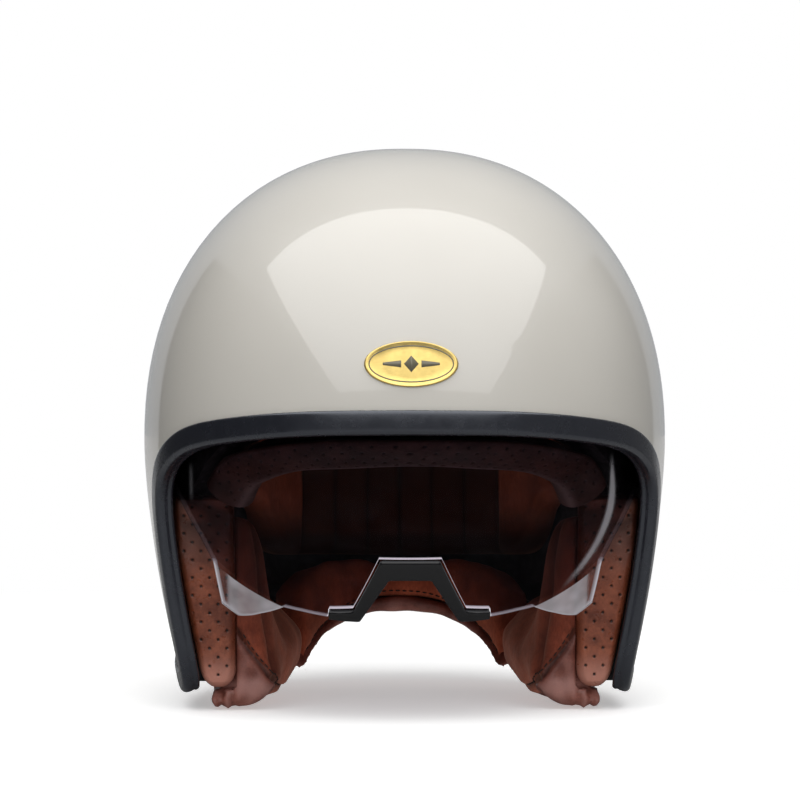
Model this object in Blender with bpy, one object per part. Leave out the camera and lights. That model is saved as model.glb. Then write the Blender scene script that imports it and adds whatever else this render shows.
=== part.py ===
"""Open face motorcycle helmet. Metres, +Z up, the face opening looks along -Y."""

import math

import bmesh
import bpy
from mathutils import Vector

for item in list(bpy.data.objects):
    bpy.data.objects.remove(item, do_unlink=True)

MM = 0.001

# Driving dimensions, in millimetres.
HALF_WIDTH = 124.0
HALF_LENGTH = 143.0
REAR_LENGTH = 145.2
EQUATOR = 125.0
RISE = 139.0
DROP = 120.0
JAW_TAPER = 19.4
NAPE_TAPER = 30.0
DOME_POWER = 2.2
PLAN_POWER = 2.3
SHELL_WALL = 4.0
REAR_GAP = 2.0
VISOR_POCKET = 18.0
POCKET_START = 25.0
POCKET_END = 55.0
LOWER_INSET = 7.4

PIVOT_Y = -4.0
PIVOT_Z = 124.0
VISOR_RADIUS = 130.5
VISOR_HALF = 113.0
LENS_WALL = 2.2
HUB_X = 108.0

STRAP_Y = 16.0
RIVET_Z = 32.0
RUN_GAP = 0.08
PART_GAP = 0.3
ROUND_STEPS = 24

# Head forms: half width, front, rear, rise above the equator, loss at the nape.
FOAM_BORE = (92.0, 105.0, 113.0, 101.0, 15.0)
PAD_BACK = (90.0, 103.0, 111.0, 98.5, 15.0)
HEAD = (77.0, 92.0, 101.0, 91.0, 10.0)
BROW_FRONT = (104.0, 124.0, 130.0, 116.0, 15.0)
NECK = (56.0, 80.0, 90.0, 80.0, 0.0)


def power(value, exponent):
    return math.copysign(abs(value) ** exponent, value)


def level_of(z, rise=RISE):
    """Level 0 is the crown, 1 the equator, 2 the lowest rim."""
    if z >= EQUATOR:
        return math.acos(((z - EQUATOR) / rise) ** (DOME_POWER / 2)) / (math.pi / 2)
    return 1 + (EQUATOR - z) / DROP


def plan_point(phi, half_width, front, rear):
    """phi is 0 at the front, 90 at the wearer's left, 180 at the rear."""
    angle = math.radians(phi)
    x = half_width * power(math.sin(angle), 2 / PLAN_POWER)
    depth = power(math.cos(angle), 2 / PLAN_POWER)
    return x, -depth * (front if depth > 0 else rear)


def shell_point(phi, level):
    if level <= 1:
        angle = level * math.pi / 2
        scale = math.sin(angle) ** (2 / DOME_POWER)
        z = EQUATOR + RISE * power(math.cos(angle), 2 / DOME_POWER)
        x, y = plan_point(phi, HALF_WIDTH * scale, HALF_LENGTH * scale, REAR_LENGTH * scale)
        return Vector((x, y, z))
    low = level - 1
    rear = REAR_LENGTH - NAPE_TAPER * low**1.8
    x, y = plan_point(phi, HALF_WIDTH - JAW_TAPER * low**1.6, HALF_LENGTH, rear)
    return Vector((x, y, EQUATOR - DROP * low))


def form_point(form, phi, level):
    half_width, front, rear, rise, nape = form
    if level <= 1:
        angle = level * math.pi / 2
        scale = math.sin(angle) ** (2 / DOME_POWER)
        z = EQUATOR + rise * power(math.cos(angle), 2 / DOME_POWER)
        x, y = plan_point(phi, half_width * scale, front * scale, rear * scale)
        return Vector((x, y, z))
    low = level - 1
    x, y = plan_point(phi, half_width, front, rear - nape * low**1.5)
    return Vector((x, y, EQUATOR - DROP * low))


def shell_normal(phi, level):
    step = 0.01
    low = max(level - step, 0.02)
    along = shell_point(phi + 1, level) - shell_point(phi - 1, level)
    down = shell_point(phi, low + 2 * step) - shell_point(phi, low)
    if level < 0.03 or along.length < 1e-6:
        return Vector((0, 0, 1))
    return down.cross(along).normalized()


def inset_point(phi, level, depth):
    return shell_point(phi, level) - shell_normal(phi, level) * depth


def smooth_step(value, start, end):
    share = min(max((value - start) / (end - start), 0), 1)
    return share * share * (3 - 2 * share)


def foam_point(phi, level):
    """Outside of the impact liner: close to the shell at the rear, set in for the visor in front."""
    rear_inset = SHELL_WALL + REAR_GAP
    share = smooth_step(shell_point(phi, level).y, POCKET_START, POCKET_END)
    return inset_point(phi, level, VISOR_POCKET + (rear_inset - VISOR_POCKET) * share)


def spline(controls, count):
    """Evenly spaced points on a smooth curve through the control points."""
    points = [Vector(control) for control in controls]
    points = [2 * points[0] - points[1], *points, 2 * points[-1] - points[-2]]
    dense = []
    for index in range(1, len(points) - 2):
        before, start, end, after = points[index - 1 : index + 3]
        for part in range(24):
            t = part / 24
            dense.append(
                start
                + 0.5 * t * (end - before)
                + t * t * (before - 2.5 * start + 2 * end - 0.5 * after)
                + t**3 * (-0.5 * before + 1.5 * start - 1.5 * end + 0.5 * after)
            )
    dense.append(points[-2])
    lengths = [0.0]
    for start, end in zip(dense, dense[1:]):
        lengths.append(lengths[-1] + (end - start).length)
    result = []
    for number in range(count + 1):
        want = lengths[-1] * number / count
        index = max(i for i in range(len(dense)) if lengths[i] <= want + 1e-9)
        if index >= len(dense) - 1:
            result.append(dense[-1])
            continue
        share = (want - lengths[index]) / (lengths[index + 1] - lengths[index])
        result.append(dense[index].lerp(dense[index + 1], share))
    return result


def closed_rim(controls, count):
    """A rim given from the front to the rear as (phi, z), mirrored into a full ring."""
    arc = 2.1
    half = [(p.x / arc, p.y) for p in spline([(phi * arc, z) for phi, z in controls], count)]
    return half + [(360 - phi, z) for phi, z in reversed(half[1:-1])]


def finish_mesh(name, mesh, pivot, smooth):
    bmesh.ops.remove_doubles(mesh, verts=mesh.verts, dist=1e-4)
    bmesh.ops.recalc_face_normals(mesh, faces=mesh.faces)
    origin = Vector(pivot)
    for vertex in mesh.verts:
        vertex.co = (vertex.co - origin) * MM
    for face in mesh.faces:
        face.smooth = smooth
    data = bpy.data.meshes.new(name)
    mesh.to_mesh(data)
    mesh.free()
    item = bpy.data.objects.new(name, data)
    item.location = origin * MM
    bpy.context.scene.collection.objects.link(item)
    return item


def sheet_solid(name, outer, inner, wrap=False, pivot=(0, 0, 0), smooth=True):
    """A closed wall between two grids of points; wrap joins the last row to the first."""
    mesh = bmesh.new()
    rows, columns = len(outer), len(outer[0])
    sides = []
    for grid in (outer, inner):
        sides.append([[mesh.verts.new(point) for point in row] for row in grid])

    def quad(*corners):
        mesh.faces.new(corners)

    row_pairs = [(i, (i + 1) % rows) for i in range(rows if wrap else rows - 1)]
    for here, there in row_pairs:
        for column in range(columns - 1):
            for side in sides:
                quad(side[here][column], side[here][column + 1],
                     side[there][column + 1], side[there][column])
        for column in (0, columns - 1):
            corners = (sides[0][here][column], sides[0][there][column],
                       sides[1][there][column], sides[1][here][column])
            if (corners[0].co - corners[1].co).length > 1e-4:
                quad(*corners)
    if not wrap:
        for row in (0, rows - 1):
            for column in range(columns - 1):
                quad(sides[0][row][column], sides[0][row][column + 1],
                     sides[1][row][column + 1], sides[1][row][column])
    return finish_mesh(name, mesh, pivot, smooth)


def loft(name, sections, closed=False, pivot=(0, 0, 0), smooth=True):
    """A solid through equal-length rings of points; closed joins the last ring to the first."""
    mesh = bmesh.new()
    rings = [[mesh.verts.new(point) for point in section] for section in sections]
    count = len(rings[0])
    pairs = list(zip(rings, rings[1:]))
    if closed:
        pairs.append((rings[-1], rings[0]))
    for ring, following in pairs:
        for i in range(count):
            j = (i + 1) % count
            mesh.faces.new((ring[i], ring[j], following[j], following[i]))
    if not closed:
        caps = [mesh.faces.new(rings[0]), mesh.faces.new(rings[-1])]
        mesh.normal_update()
        bmesh.ops.triangulate(mesh, faces=caps, ngon_method="EAR_CLIP")
    return finish_mesh(name, mesh, pivot, smooth)


def turned(name, profile, y, z, pivot=None, steps=ROUND_STEPS):
    """A ring turned about an axis along X; the profile is a closed loop of (x, radius)."""
    sections = []
    for number in range(steps):
        angle = 2 * math.pi * number / steps
        sections.append([
            Vector((x, y + r * math.cos(angle), z + r * math.sin(angle))) for x, r in profile
        ])
    return loft(name, sections, closed=True, pivot=pivot or (0, 0, 0))


def stepped_pin(name, profile, y, z, steps=ROUND_STEPS):
    """A solid pin about an axis along X: the profile runs from tip to tip as (x, radius)."""
    sections = []
    for x, r in profile:
        ring = []
        for number in range(steps):
            angle = 2 * math.pi * number / steps
            ring.append(Vector((x, y + r * math.cos(angle), z + r * math.sin(angle))))
        sections.append(ring)
    return loft(name, sections)


def block(name, low, high, smooth=False):
    ring = [(low[0], low[1]), (high[0], low[1]), (high[0], high[1]), (low[0], high[1])]
    return loft(name, [[Vector((x, y, z)) for x, y in ring] for z in (low[2], high[2])],
                smooth=smooth)


def material(name, color, roughness, metallic=0.0, alpha=1.0):
    result = bpy.data.materials.new(name)
    result.use_nodes = True
    shader = result.node_tree.nodes["Principled BSDF"]
    shader.inputs["Base Color"].default_value = (*color, 1)
    shader.inputs["Roughness"].default_value = roughness
    shader.inputs["Metallic"].default_value = metallic
    shader.inputs["Alpha"].default_value = alpha
    return result


MATERIALS = {
    "cream_paint": ((0.72, 0.69, 0.63), 0.12, 0.0, 1.0),
    "black_rubber": ((0.02, 0.02, 0.024), 0.5, 0.0, 1.0),
    "foam": ((0.05, 0.05, 0.05), 0.9, 0.0, 1.0),
    "suede": ((0.20, 0.07, 0.035), 0.95, 0.0, 1.0),
    "brow_leather": ((0.06, 0.03, 0.02), 0.5, 0.0, 1.0),
    "tan_leather": ((0.16, 0.06, 0.03), 0.5, 0.0, 1.0),
    "smoked_lens": ((0.35, 0.32, 0.34), 0.05, 0.0, 0.35),
    "black_gloss": ((0.01, 0.01, 0.01), 0.2, 0.0, 1.0),
    "black_plastic": ((0.02, 0.02, 0.02), 0.55, 0.0, 1.0),
    "gold_plate": ((0.83, 0.66, 0.16), 0.25, 1.0, 1.0),
    "steel": ((0.55, 0.55, 0.55), 0.3, 1.0, 1.0),
    "webbing": ((0.015, 0.015, 0.015), 0.9, 0.0, 1.0),
}


def coat(item, slot):
    known = bpy.data.materials.get(slot) or material(slot, *MATERIALS[slot])
    item.data.materials.append(known)


def flip(points):
    return [Vector((-point.x, point.y, point.z)) for point in points]


# Shell and trim share one rim: (phi, z) from the brow to the nape.
SHELL_RIM = closed_rim(
    [(0, 131.2), (18, 130.6), (34, 128.3), (48, 124.6), (57.5, 118.5), (64.5, 109), (68, 95),
     (69.2, 70), (69.8, 45), (70.6, 25), (72.5, 13.5), (78, 9.8), (92, 14), (120, 24), (150, 35),
     (180, 41)],
    30,
)


def dome(name, rim, steps, outside, inside):
    """Outer and inner walls drawn along lines from each rim point to the crown."""
    grids = []
    for surface, rise in (outside, inside):
        grid = []
        for number, (phi, z) in enumerate(rim):
            crown_phi = 360 * number / len(rim)
            level = level_of(z, rise)
            row = []
            for step in range(steps + 1):
                share = (step / steps) ** 1.15
                row.append(surface(phi + (crown_phi - phi) * share, level * (1 - share)))
            grid.append(row)
        grids.append(grid)
    return sheet_solid(name, grids[0], grids[1], wrap=True)


def form(sizes):
    return (lambda phi, level: form_point(sizes, phi, level)), sizes[3]


def build_shell():
    inside = (lambda phi, level: inset_point(phi, level, SHELL_WALL)), RISE
    item = dome("outer_shell", SHELL_RIM, 10, (shell_point, RISE), inside)
    coat(item, "cream_paint")


def build_trim():
    """U-channel profile as (past the rim, above the shell's outer face)."""
    profile = [(-8.2, 0.4), (-7.9, 1.2), (-4, 1.8), (0.6, 1.7), (2.0, 0.3), (2.4, -2.0),
               (2.2, -4.6), (1.0, -6.0), (-5.3, -6.6), (-5.5, -5.3), (0.4, -4.6), (0.4, 0.4)]
    count = len(SHELL_RIM)
    spots = [shell_point(phi, level_of(z)) for phi, z in SHELL_RIM]
    sections = []
    for index, (phi, z) in enumerate(SHELL_RIM):
        normal = shell_normal(phi, level_of(z))
        along = (spots[(index + 1) % count] - spots[index - 1]).normalized()
        past = along.cross(normal).normalized()
        inward = shell_point(phi, level_of(z) * 0.9) - spots[index]
        if past.dot(inward) > 0:
            past = -past
        sections.append([spots[index] + past * d + normal * h for d, h in profile])
    coat(loft("edge_trim", sections, closed=True), "black_rubber")


def build_badge():
    """Oval plate lying on the brow."""
    half_x, half_z, center_z = 20.5, 10.0, 159.6
    grids = []
    for height in (1.1, PART_GAP):
        rows = []
        for number in range(28):
            angle = 2 * math.pi * number / 28
            row = []
            for share in (1.0, 0.55, 0.0):
                x = half_x * share * math.cos(angle)
                z = center_z + half_z * share * math.sin(angle)
                level = level_of(z)
                wide = HALF_WIDTH * math.sin(level * math.pi / 2) ** (2 / DOME_POWER)
                phi = math.degrees(math.asin(power(x / wide, PLAN_POWER / 2)))
                row.append(inset_point(phi, level, -height))
            rows.append(row)
        grids.append(rows)
    coat(sheet_solid("front_badge", grids[0], grids[1], wrap=True), "gold_plate")


def build_foam():
    rim = closed_rim(
        [(0, 129.5), (24, 129), (42, 126.5), (54, 121), (64, 108), (76, 98), (92, 97),
         (106, 88), (116, 68), (130, 53), (155, 48.5), (180, 47.5)], 22)
    item = dome("impact_liner", rim, 8, (foam_point, RISE), form(FOAM_BORE))
    coat(item, "foam")


def build_crown_liner():
    rim = closed_rim(
        [(0, 134), (40, 134), (57, 133), (64, 121), (70, 105), (79, 98.5), (98, 98),
         (112, 96.5), (120, 90), (125, 77), (133, 67), (150, 65.5), (180, 64.5)], 22)
    item = dome("crown_liner", rim, 7, form(PAD_BACK), form(HEAD))
    coat(item, "suede")


def between_forms(inner, outer, phi, share, z):
    low = form_point(inner, phi, level_of(z, inner[3]))
    high = form_point(outer, phi, level_of(z, outer[3]))
    return low.lerp(high, share)


def build_brow_pad():
    profile = [(0, 131.6), (0, 119), (0.1, 115), (0.3, 113.7), (0.55, 116), (0.8, 121),
               (0.9, 125), (0.88, 126.4), (0.4, 126.8), (0.36, 131.6)]
    sections = []
    for number in range(19):
        phi = -64 + 128 * number / 18
        sink = 9.5 * abs(phi / 56) ** 2.6 + 8 * (max(abs(phi) - 54, 0) / 12) ** 1.2
        sections.append([
            between_forms(HEAD, BROW_FRONT, phi, share, z - sink) for share, z in profile
        ])
    coat(loft("brow_pad", sections), "brow_leather")


def neck_point(phi, share, z):
    """share 0 is the wearer's neck, 1 the inside of the shell; the sides hang lower."""
    turn = abs(180 - phi)
    inner_sink = 22 * (turn / 45) ** 2
    outer_sink = 13 * (turn / 45) ** 1.5
    z -= inner_sink + (outer_sink - inner_sink) * share
    low = form_point(NECK, phi, level_of(z))
    spot = low.lerp(inset_point(phi, level_of(z), LOWER_INSET), share)
    spot.z = z
    return spot


def build_neck_roll():
    roll = [(0.03, 44), (0, 53), (0.04, 61), (0.1, 64.5), (0.17, 62.5), (0.22, 58.5),
            (0.4, 57.5), (0.4, 44)]
    welt = [(0.04, 43.6), (0, 40), (0.07, 37), (0.3, 36), (0.8, 38.5), (0.92, 41), (0.9, 44.5),
            (0.46, 44.5), (0.43, 43.6)]
    for name, profile, slot in (("neck_roll", roll, "suede"), ("neck_welt", welt, "tan_leather")):
        sections = []
        for number in range(17):
            phi = 125 + 110 * number / 16
            sections.append([neck_point(phi, share, z) for share, z in profile])
        coat(loft(name, sections), slot)


# Cheek pad stations: y, top, inner x at the top, middle, lower bulge and foot, flange, underside.
CHEEK_STATIONS = [
    (-50, 92, 70, 69.5, 64.5, 59.5, 95, 0), (-44, 93, 69, 69, 63.5, 58.5, 96, 0),
    (-42.5, 93, 69, 69, 64, 59, 96, 0), (-24, 92, 69, 67, 62, 58, 97, 0),
    (-14, 86, 69, 65.5, 60, 57, 97, 0), (-5, 58, 70, 63, 57.5, 55.5, 97, 0),
    (10, 54, 70, 60, 54, 53, 97, 0), (28, 52, 66, 55, 50, 50, 95, 5),
    (42, 48, 60, 50, 47, 48, 88, 10), (49, 44, 58, 50, 47.5, 48, 82, 12),
]
PLATE_X = 86.2
BLOCK_X = 88.0
CHEEK_FRONT = -43.7
CHEEK_BACK = -8.0
PANEL_NEAR = 79.3
PANEL_DEPTH = 8.3


def cheek_section(station):
    y, top, top_x, mid_x, low_x, foot_x, flange, under = station
    outer = min(PLATE_X - PART_GAP, flange - 3) if y > CHEEK_FRONT else PANEL_NEAR - 0.5
    slant = 0.5 * smooth_step(y, 28, 49)
    ring = [(outer, top - 3), (outer - 4, top), (top_x + 4, top), (top_x, top - 5),
            (mid_x, top * 0.58), (low_x, 24), (foot_x, 12), (foot_x + 3, 5), (foot_x + 12, 0),
            (flange - 3, 0), (flange, 2), (flange - 1.5, 5.6), (outer, 8.5)]
    rise = (top - under) / top
    return [Vector((x, y + slant * max(x - 52, 0), under + rise * z)) for x, z in ring]


def build_cheeks(side, mark):
    def place(points):
        return points if side > 0 else flip(points)

    # Impact block between the shell and the pad.
    outer, inner = [], []
    for z in (13, 32, 52, 72, 91.5):
        outer.append([])
        inner.append([])
        for y in (CHEEK_FRONT, -32, -20, CHEEK_BACK):
            phi = math.degrees(math.acos((-y / HALF_LENGTH) ** (PLAN_POWER / 2)))
            spot = inset_point(phi, level_of(z), LOWER_INSET)
            outer[-1].append(Vector((spot.x, y, z)))
            inner[-1].append(Vector((BLOCK_X, y, z)))
    item = sheet_solid(f"cheek_block_{mark}", [place(row) for row in outer],
                       [place(row) for row in inner], smooth=False)
    coat(item, "foam")

    # Backing plate the pad snaps to.
    x = sorted((side * PLATE_X, side * (BLOCK_X - PART_GAP)))
    item = block(f"cheek_plate_{mark}", (x[0], CHEEK_FRONT + 2.5, 15), (x[1], -11, 89))
    coat(item, "black_plastic")

    # Cushion.
    sections = [place(cheek_section(station)) for station in CHEEK_STATIONS]
    item = loft(f"cheek_pad_{mark}", sections)
    coat(item, "suede")

    # Perforated panel facing forward, just inside the trim.
    sections = []
    panel_back = CHEEK_FRONT - PART_GAP
    for z, pinch in ((10.5, 2.5), (13, 0.6), (30, 0), (50, 0), (70, 0), (96, 0.6), (100, 2.5)):
        middle_y = panel_back - PANEL_DEPTH / 2
        phi = math.degrees(math.acos((-middle_y / HALF_LENGTH) ** (PLAN_POWER / 2)))
        edge = inset_point(phi, level_of(z), LOWER_INSET + 0.6).x - pinch
        near = PANEL_NEAR + pinch
        mid = (near + edge) / 2
        front = panel_back - PANEL_DEPTH + pinch
        ring = [(near, panel_back), (near, front + 2.6), (near + 2.6, front + 0.4), (mid, front),
                (edge - 2.6, front + 0.4), (edge, front + 2.6), (edge, panel_back)]
        sections.append(place([Vector((px, py, z)) for px, py in ring]))
    coat(loft(f"cheek_front_panel_{mark}", sections), "tan_leather")


def lens_radius(x):
    share = min(abs(x) / VISOR_HALF, 1)
    return VISOR_RADIUS * (1 - share**PLAN_POWER) ** (1 / PLAN_POWER)


def lens_point(x, down, lift):
    """A point on the visor's surface, turned down by an angle, lifted off it by a height."""
    step = 0.05
    slope = (lens_radius(abs(x) + step) - lens_radius(max(abs(x) - step, 0))) / (2 * step)
    size = math.hypot(1, slope)
    radius = lens_radius(x) + lift / size
    across = x - math.copysign(1, x) * lift * slope / size if x else 0.0
    angle = math.radians(down)
    return Vector((across, PIVOT_Y - radius * math.cos(angle), PIVOT_Z - radius * math.sin(angle)))


# Lens edge stations: half width, lower edge angle and upper edge angle below the pivot level.
LENS_STATIONS = [
    (13.9, 22.7, -13), (19.2, 28.1, -13), (25.3, 34.4, -13), (36.1, 35.4, -13), (36.5, 37.5, -13),
    (48.9, 37.7, -13), (56.4, 38.1, -13), (66.5, 42.9, -13), (76.8, 48.8, -13), (84.5, 49.7, -13),
    (88.6, 36.5, -13), (95, 31.5, -13), (101.2, 28.2, -14), (105, 26, -16), (108, 26, -19),
    (110.5, 27, -24), (111.7, 30, -29), (112.55, 44, -44),
]


def build_visor():
    pivot = (0, PIVOT_Y, PIVOT_Z)
    stations = [(-x, low, high) for x, low, high in reversed(LENS_STATIONS)]
    stations += [(0, LENS_STATIONS[0][1], LENS_STATIONS[0][2])] + LENS_STATIONS
    outer, inner = [], []
    for x, low, high in stations:
        angles = [low + (high - low) * step / 6 for step in range(7)]
        outer.append([lens_point(x, angle, 0) for angle in angles])
        inner.append([lens_point(x, angle, -LENS_WALL) for angle in angles])
    coat(sheet_solid("visor_lens", outer, inner, pivot=pivot), "smoked_lens")

    # Nose tab: upper edge and lower edge from the foot tip to the middle.
    half = [((36, 36.0), (35.6, 37.9)), ((25, 35.0), (22.1, 37.6)), ((13.3, 23.2), (9.6, 27.4))]
    edges = [[(-x, a) for x, a in pair] for pair in half] + list(reversed(half))
    sections = []
    for upper, lower in edges:
        sections.append([lens_point(*upper, 1.3), lens_point(*lower, 1.3),
                         lens_point(*lower, -2.9), lens_point(*upper, -2.9)])
    coat(loft("nose_tab", sections, pivot=pivot, smooth=False), "black_gloss")

    for side, mark in ((1, "left"), (-1, "right")):
        hub = [(107.0, 4 + RUN_GAP), (107.0, 21), (108.0, 22), (109.2, 22), (109.2, 4 + RUN_GAP)]
        washer = [(109.5, 4 + PART_GAP), (109.5, 6.6), (113.2, 6.6), (113.2, 4 + PART_GAP)]
        base = [(106.6, 3.2), (107.2, 4), (113.5, 4), (113.5, 16), (116.3, 17), (117, 16)]
        hub = [(side * x, r) for x, r in hub]
        washer = [(side * x, r) for x, r in washer]
        base = [(side * x, r) for x, r in base]
        item = turned(f"visor_hub_{mark}", hub, PIVOT_Y, PIVOT_Z, pivot=(side * HUB_X, *pivot[1:]))
        coat(item, "black_gloss")
        coat(turned(f"visor_washer_{mark}", washer, PIVOT_Y, PIVOT_Z), "steel")
        coat(stepped_pin(f"visor_base_{mark}", base, PIVOT_Y, PIVOT_Z), "black_plastic")


def build_slot_guide():
    """Thin strip on the front edge of the impact liner."""
    outer, inner = [], []
    for number in range(17):
        phi = -46 + 92 * number / 16
        z = 130.5 - 5 * abs(phi / 46) ** 2.4
        outer.append([inset_point(phi, level_of(z + up), 16.4) for up in (0, 5, 10)])
        inner.append([inset_point(phi, level_of(z + up), 17.5) for up in (0, 5, 10)])
    coat(sheet_solid("visor_slot_guide", outer, inner), "black_plastic")


def ribbon(name, path, thickness, low_y, high_y, pivot):
    """Webbing of even thickness laid along a path of (x, z) points."""
    sections = []
    for index, (x, z) in enumerate(path):
        before = path[max(index - 1, 0)]
        after = path[min(index + 1, len(path) - 1)]
        run = Vector((after[0] - before[0], after[1] - before[1])).normalized()
        side = Vector((-run.y, run.x)) * thickness / 2
        sections.append([Vector((x + side.x, low_y, z + side.y)),
                         Vector((x + side.x, high_y, z + side.y)),
                         Vector((x - side.x, high_y, z - side.y)),
                         Vector((x - side.x, low_y, z - side.y))])
    return loft(name, sections, pivot=pivot)


def arc(center, radius, start, end, count):
    result = []
    for number in range(count + 1):
        angle = math.radians(start + (end - start) * number / count)
        result.append((center[0] + radius * math.cos(angle), center[1] + radius * math.sin(angle)))
    return result


PLATE_MID = 102.4
PLATE_HALF = 0.8
BAR_Z = 55.5
BAR_REACH = 3.6
FREE_END_X = 91.4
CUT_NEAR = 90.0
CUT_FAR = 118.0
STRAP_HALF = 10.0
RING_X = 92.0
RING_Z = 57.0
LOOP_RADIUS = 4.9
WEBBING = 1.4


def build_hanger(side, mark):
    """Steel plate on its rivet: a pivot hole below, a slot for the webbing above."""
    pivot = (side * PLATE_MID, STRAP_Y, RIVET_Z)
    outline = arc((STRAP_Y, RIVET_Z), 9.5, 200, 340, 10)
    outline += [(STRAP_Y + 13, 46), (STRAP_Y + 13, 56), (STRAP_Y + 11, 58)]
    outline += [(STRAP_Y - 11, 58), (STRAP_Y - 13, 56), (STRAP_Y - 13, 46)]
    sections = []
    for x in (PLATE_MID - PLATE_HALF, PLATE_MID + PLATE_HALF):
        sections.append([Vector((side * x, y, z)) for y, z in outline])
    plate = loft(f"strap_hanger_{mark}", sections, pivot=pivot, smooth=False)
    coat(plate, "steel")
    bore = 3 + RUN_GAP
    hole = stepped_pin(f"cut_hole_{mark}", [(side * CUT_NEAR, bore), (side * CUT_FAR, bore)],
                       STRAP_Y, RIVET_Z)
    slot_x = sorted((side * CUT_NEAR, side * CUT_FAR))
    slot_half = STRAP_HALF + 0.8
    slot = block(f"cut_slot_{mark}", (slot_x[0], STRAP_Y - slot_half, 48.5),
                 (slot_x[1], STRAP_Y + slot_half, 53.5))
    for cutter in (hole, slot):
        cutter.hide_render = True
        cutter.display_type = "WIRE"
        cut = plate.modifiers.new(cutter.name, "BOOLEAN")
        cut.object = cutter
        cut.operation = "DIFFERENCE"
        cut.solver = "EXACT"
    rivet = [(-2.9, 4.6), (-2.1, 6.5), (-1.1, 6.5), (-1.1, 3), (1.1, 3), (1.1, 4.6), (2.3, 4.6)]
    rivet = [(side * (PLATE_MID + x), r) for x, r in rivet]
    item = stepped_pin(f"strap_rivet_{mark}", rivet, STRAP_Y, RIVET_Z)
    coat(item, "steel")


def build_strap(side, mark):
    """Webbing round the hanger's bar, up the ear pocket, over and down to its free end."""
    pivot = (side * PLATE_MID, STRAP_Y, RIVET_Z)
    bar = (PLATE_MID, BAR_Z)
    path = [(PLATE_MID - BAR_REACH, 66)] + arc(bar, BAR_REACH, 180, 360, 8)
    path += [(PLATE_MID + BAR_REACH, 68)]
    path += arc((PLATE_MID - 2.8, 78), 6.4, 0, 180, 8)
    if side > 0:
        path += [(RING_X - LOOP_RADIUS, 68)]
        path += arc((RING_X, RING_Z), LOOP_RADIUS, 180, 360, 10)
        path += [(RING_X + LOOP_RADIUS - 1, 66)]
    else:
        path += [(FREE_END_X, 60)]
    path = [(side * x, z) for x, z in path]
    item = ribbon(f"chin_strap_{mark}", path, WEBBING, STRAP_Y - STRAP_HALF, STRAP_Y + STRAP_HALF,
                  pivot)
    coat(item, "webbing")


def build_rings():
    """Two D-rings whose straight bars lie side by side in the left strap's end loop."""
    radius, half_bar, drop = 1.4, 13.0, 17.0
    for offset, mark in ((-1.7, "inner"), (1.7, "outer")):
        center = Vector((RING_X + offset, STRAP_Y, RING_Z))
        spots = [Vector((0, y, 0)) for y in (-half_bar, 0, half_bar)]
        for number in range(9):
            angle = math.pi * (number + 0.5) / 9
            spots.append(Vector((0, (half_bar + 1.5) * math.cos(angle),
                                 -2 - (drop - 2) * math.sin(angle))))
        sections = []
        for index, spot in enumerate(spots):
            run = (spots[(index + 1) % len(spots)] - spots[index - 1]).normalized()
            across = Vector((1, 0, 0))
            other = run.cross(across)
            ring = []
            for number in range(8):
                angle = 2 * math.pi * number / 8
                ring.append(center + spot + radius * (across * math.cos(angle)
                                                      + other * math.sin(angle)))
            sections.append(ring)
        item = loft(f"d_ring_{mark}", sections, closed=True, pivot=(RING_X, STRAP_Y, RING_Z))
        coat(item, "steel")


def build_snap():
    stud = [(-88.6, 2.4), (-88.9, 3.2), (-90.2, 3.2), (-90.4, 5.5)]
    coat(stepped_pin("strap_snap", stud, STRAP_Y, 66, steps=20), "steel")


build_shell()
build_trim()
build_badge()
build_foam()
build_crown_liner()
build_brow_pad()
build_neck_roll()
build_visor()
build_slot_guide()
build_rings()
build_snap()
for SIDE, MARK in ((1, "left"), (-1, "right")):
    build_cheeks(SIDE, MARK)
    build_hanger(SIDE, MARK)
    build_strap(SIDE, MARK)
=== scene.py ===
"""Looks of the open face helmet: every visible surface, the floor, the light and the camera."""

import math

import bmesh
import bpy
import numpy as np
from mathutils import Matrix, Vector
from mathutils.bvhtree import BVHTree
from mathutils.kdtree import KDTree


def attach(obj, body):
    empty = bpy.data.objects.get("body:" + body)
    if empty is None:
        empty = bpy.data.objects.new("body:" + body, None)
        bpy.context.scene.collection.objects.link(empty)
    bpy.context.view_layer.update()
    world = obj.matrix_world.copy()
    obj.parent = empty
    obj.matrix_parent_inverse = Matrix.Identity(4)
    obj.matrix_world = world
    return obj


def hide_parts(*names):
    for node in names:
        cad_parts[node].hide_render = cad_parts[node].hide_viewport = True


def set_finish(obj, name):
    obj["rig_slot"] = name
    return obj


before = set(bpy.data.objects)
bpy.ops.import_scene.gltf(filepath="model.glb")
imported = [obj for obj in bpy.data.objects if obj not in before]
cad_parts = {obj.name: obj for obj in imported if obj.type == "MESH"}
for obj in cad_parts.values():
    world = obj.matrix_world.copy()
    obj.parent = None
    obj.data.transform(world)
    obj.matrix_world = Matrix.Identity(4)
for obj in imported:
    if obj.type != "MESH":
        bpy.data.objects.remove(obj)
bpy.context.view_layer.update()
SCENE = bpy.context.scene
MM = 0.001

# Driving dimensions of the solids, in millimetres.
HALF_WIDTH = 124.0
HALF_LENGTH = 143.0
REAR_LENGTH = 145.2
EQUATOR = 125.0
RISE = 139.0
DROP = 120.0
JAW_TAPER = 19.4
NAPE_TAPER = 30.0
DOME_POWER = 2.2
PLAN_POWER = 2.3
SHELL_WALL = 4.0
LOWER_INSET = 7.4
PIVOT_Y = -4.0
PIVOT_Z = 124.0
VISOR_RADIUS = 130.5
VISOR_HALF = 113.0
LENS_WALL = 2.2

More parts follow.
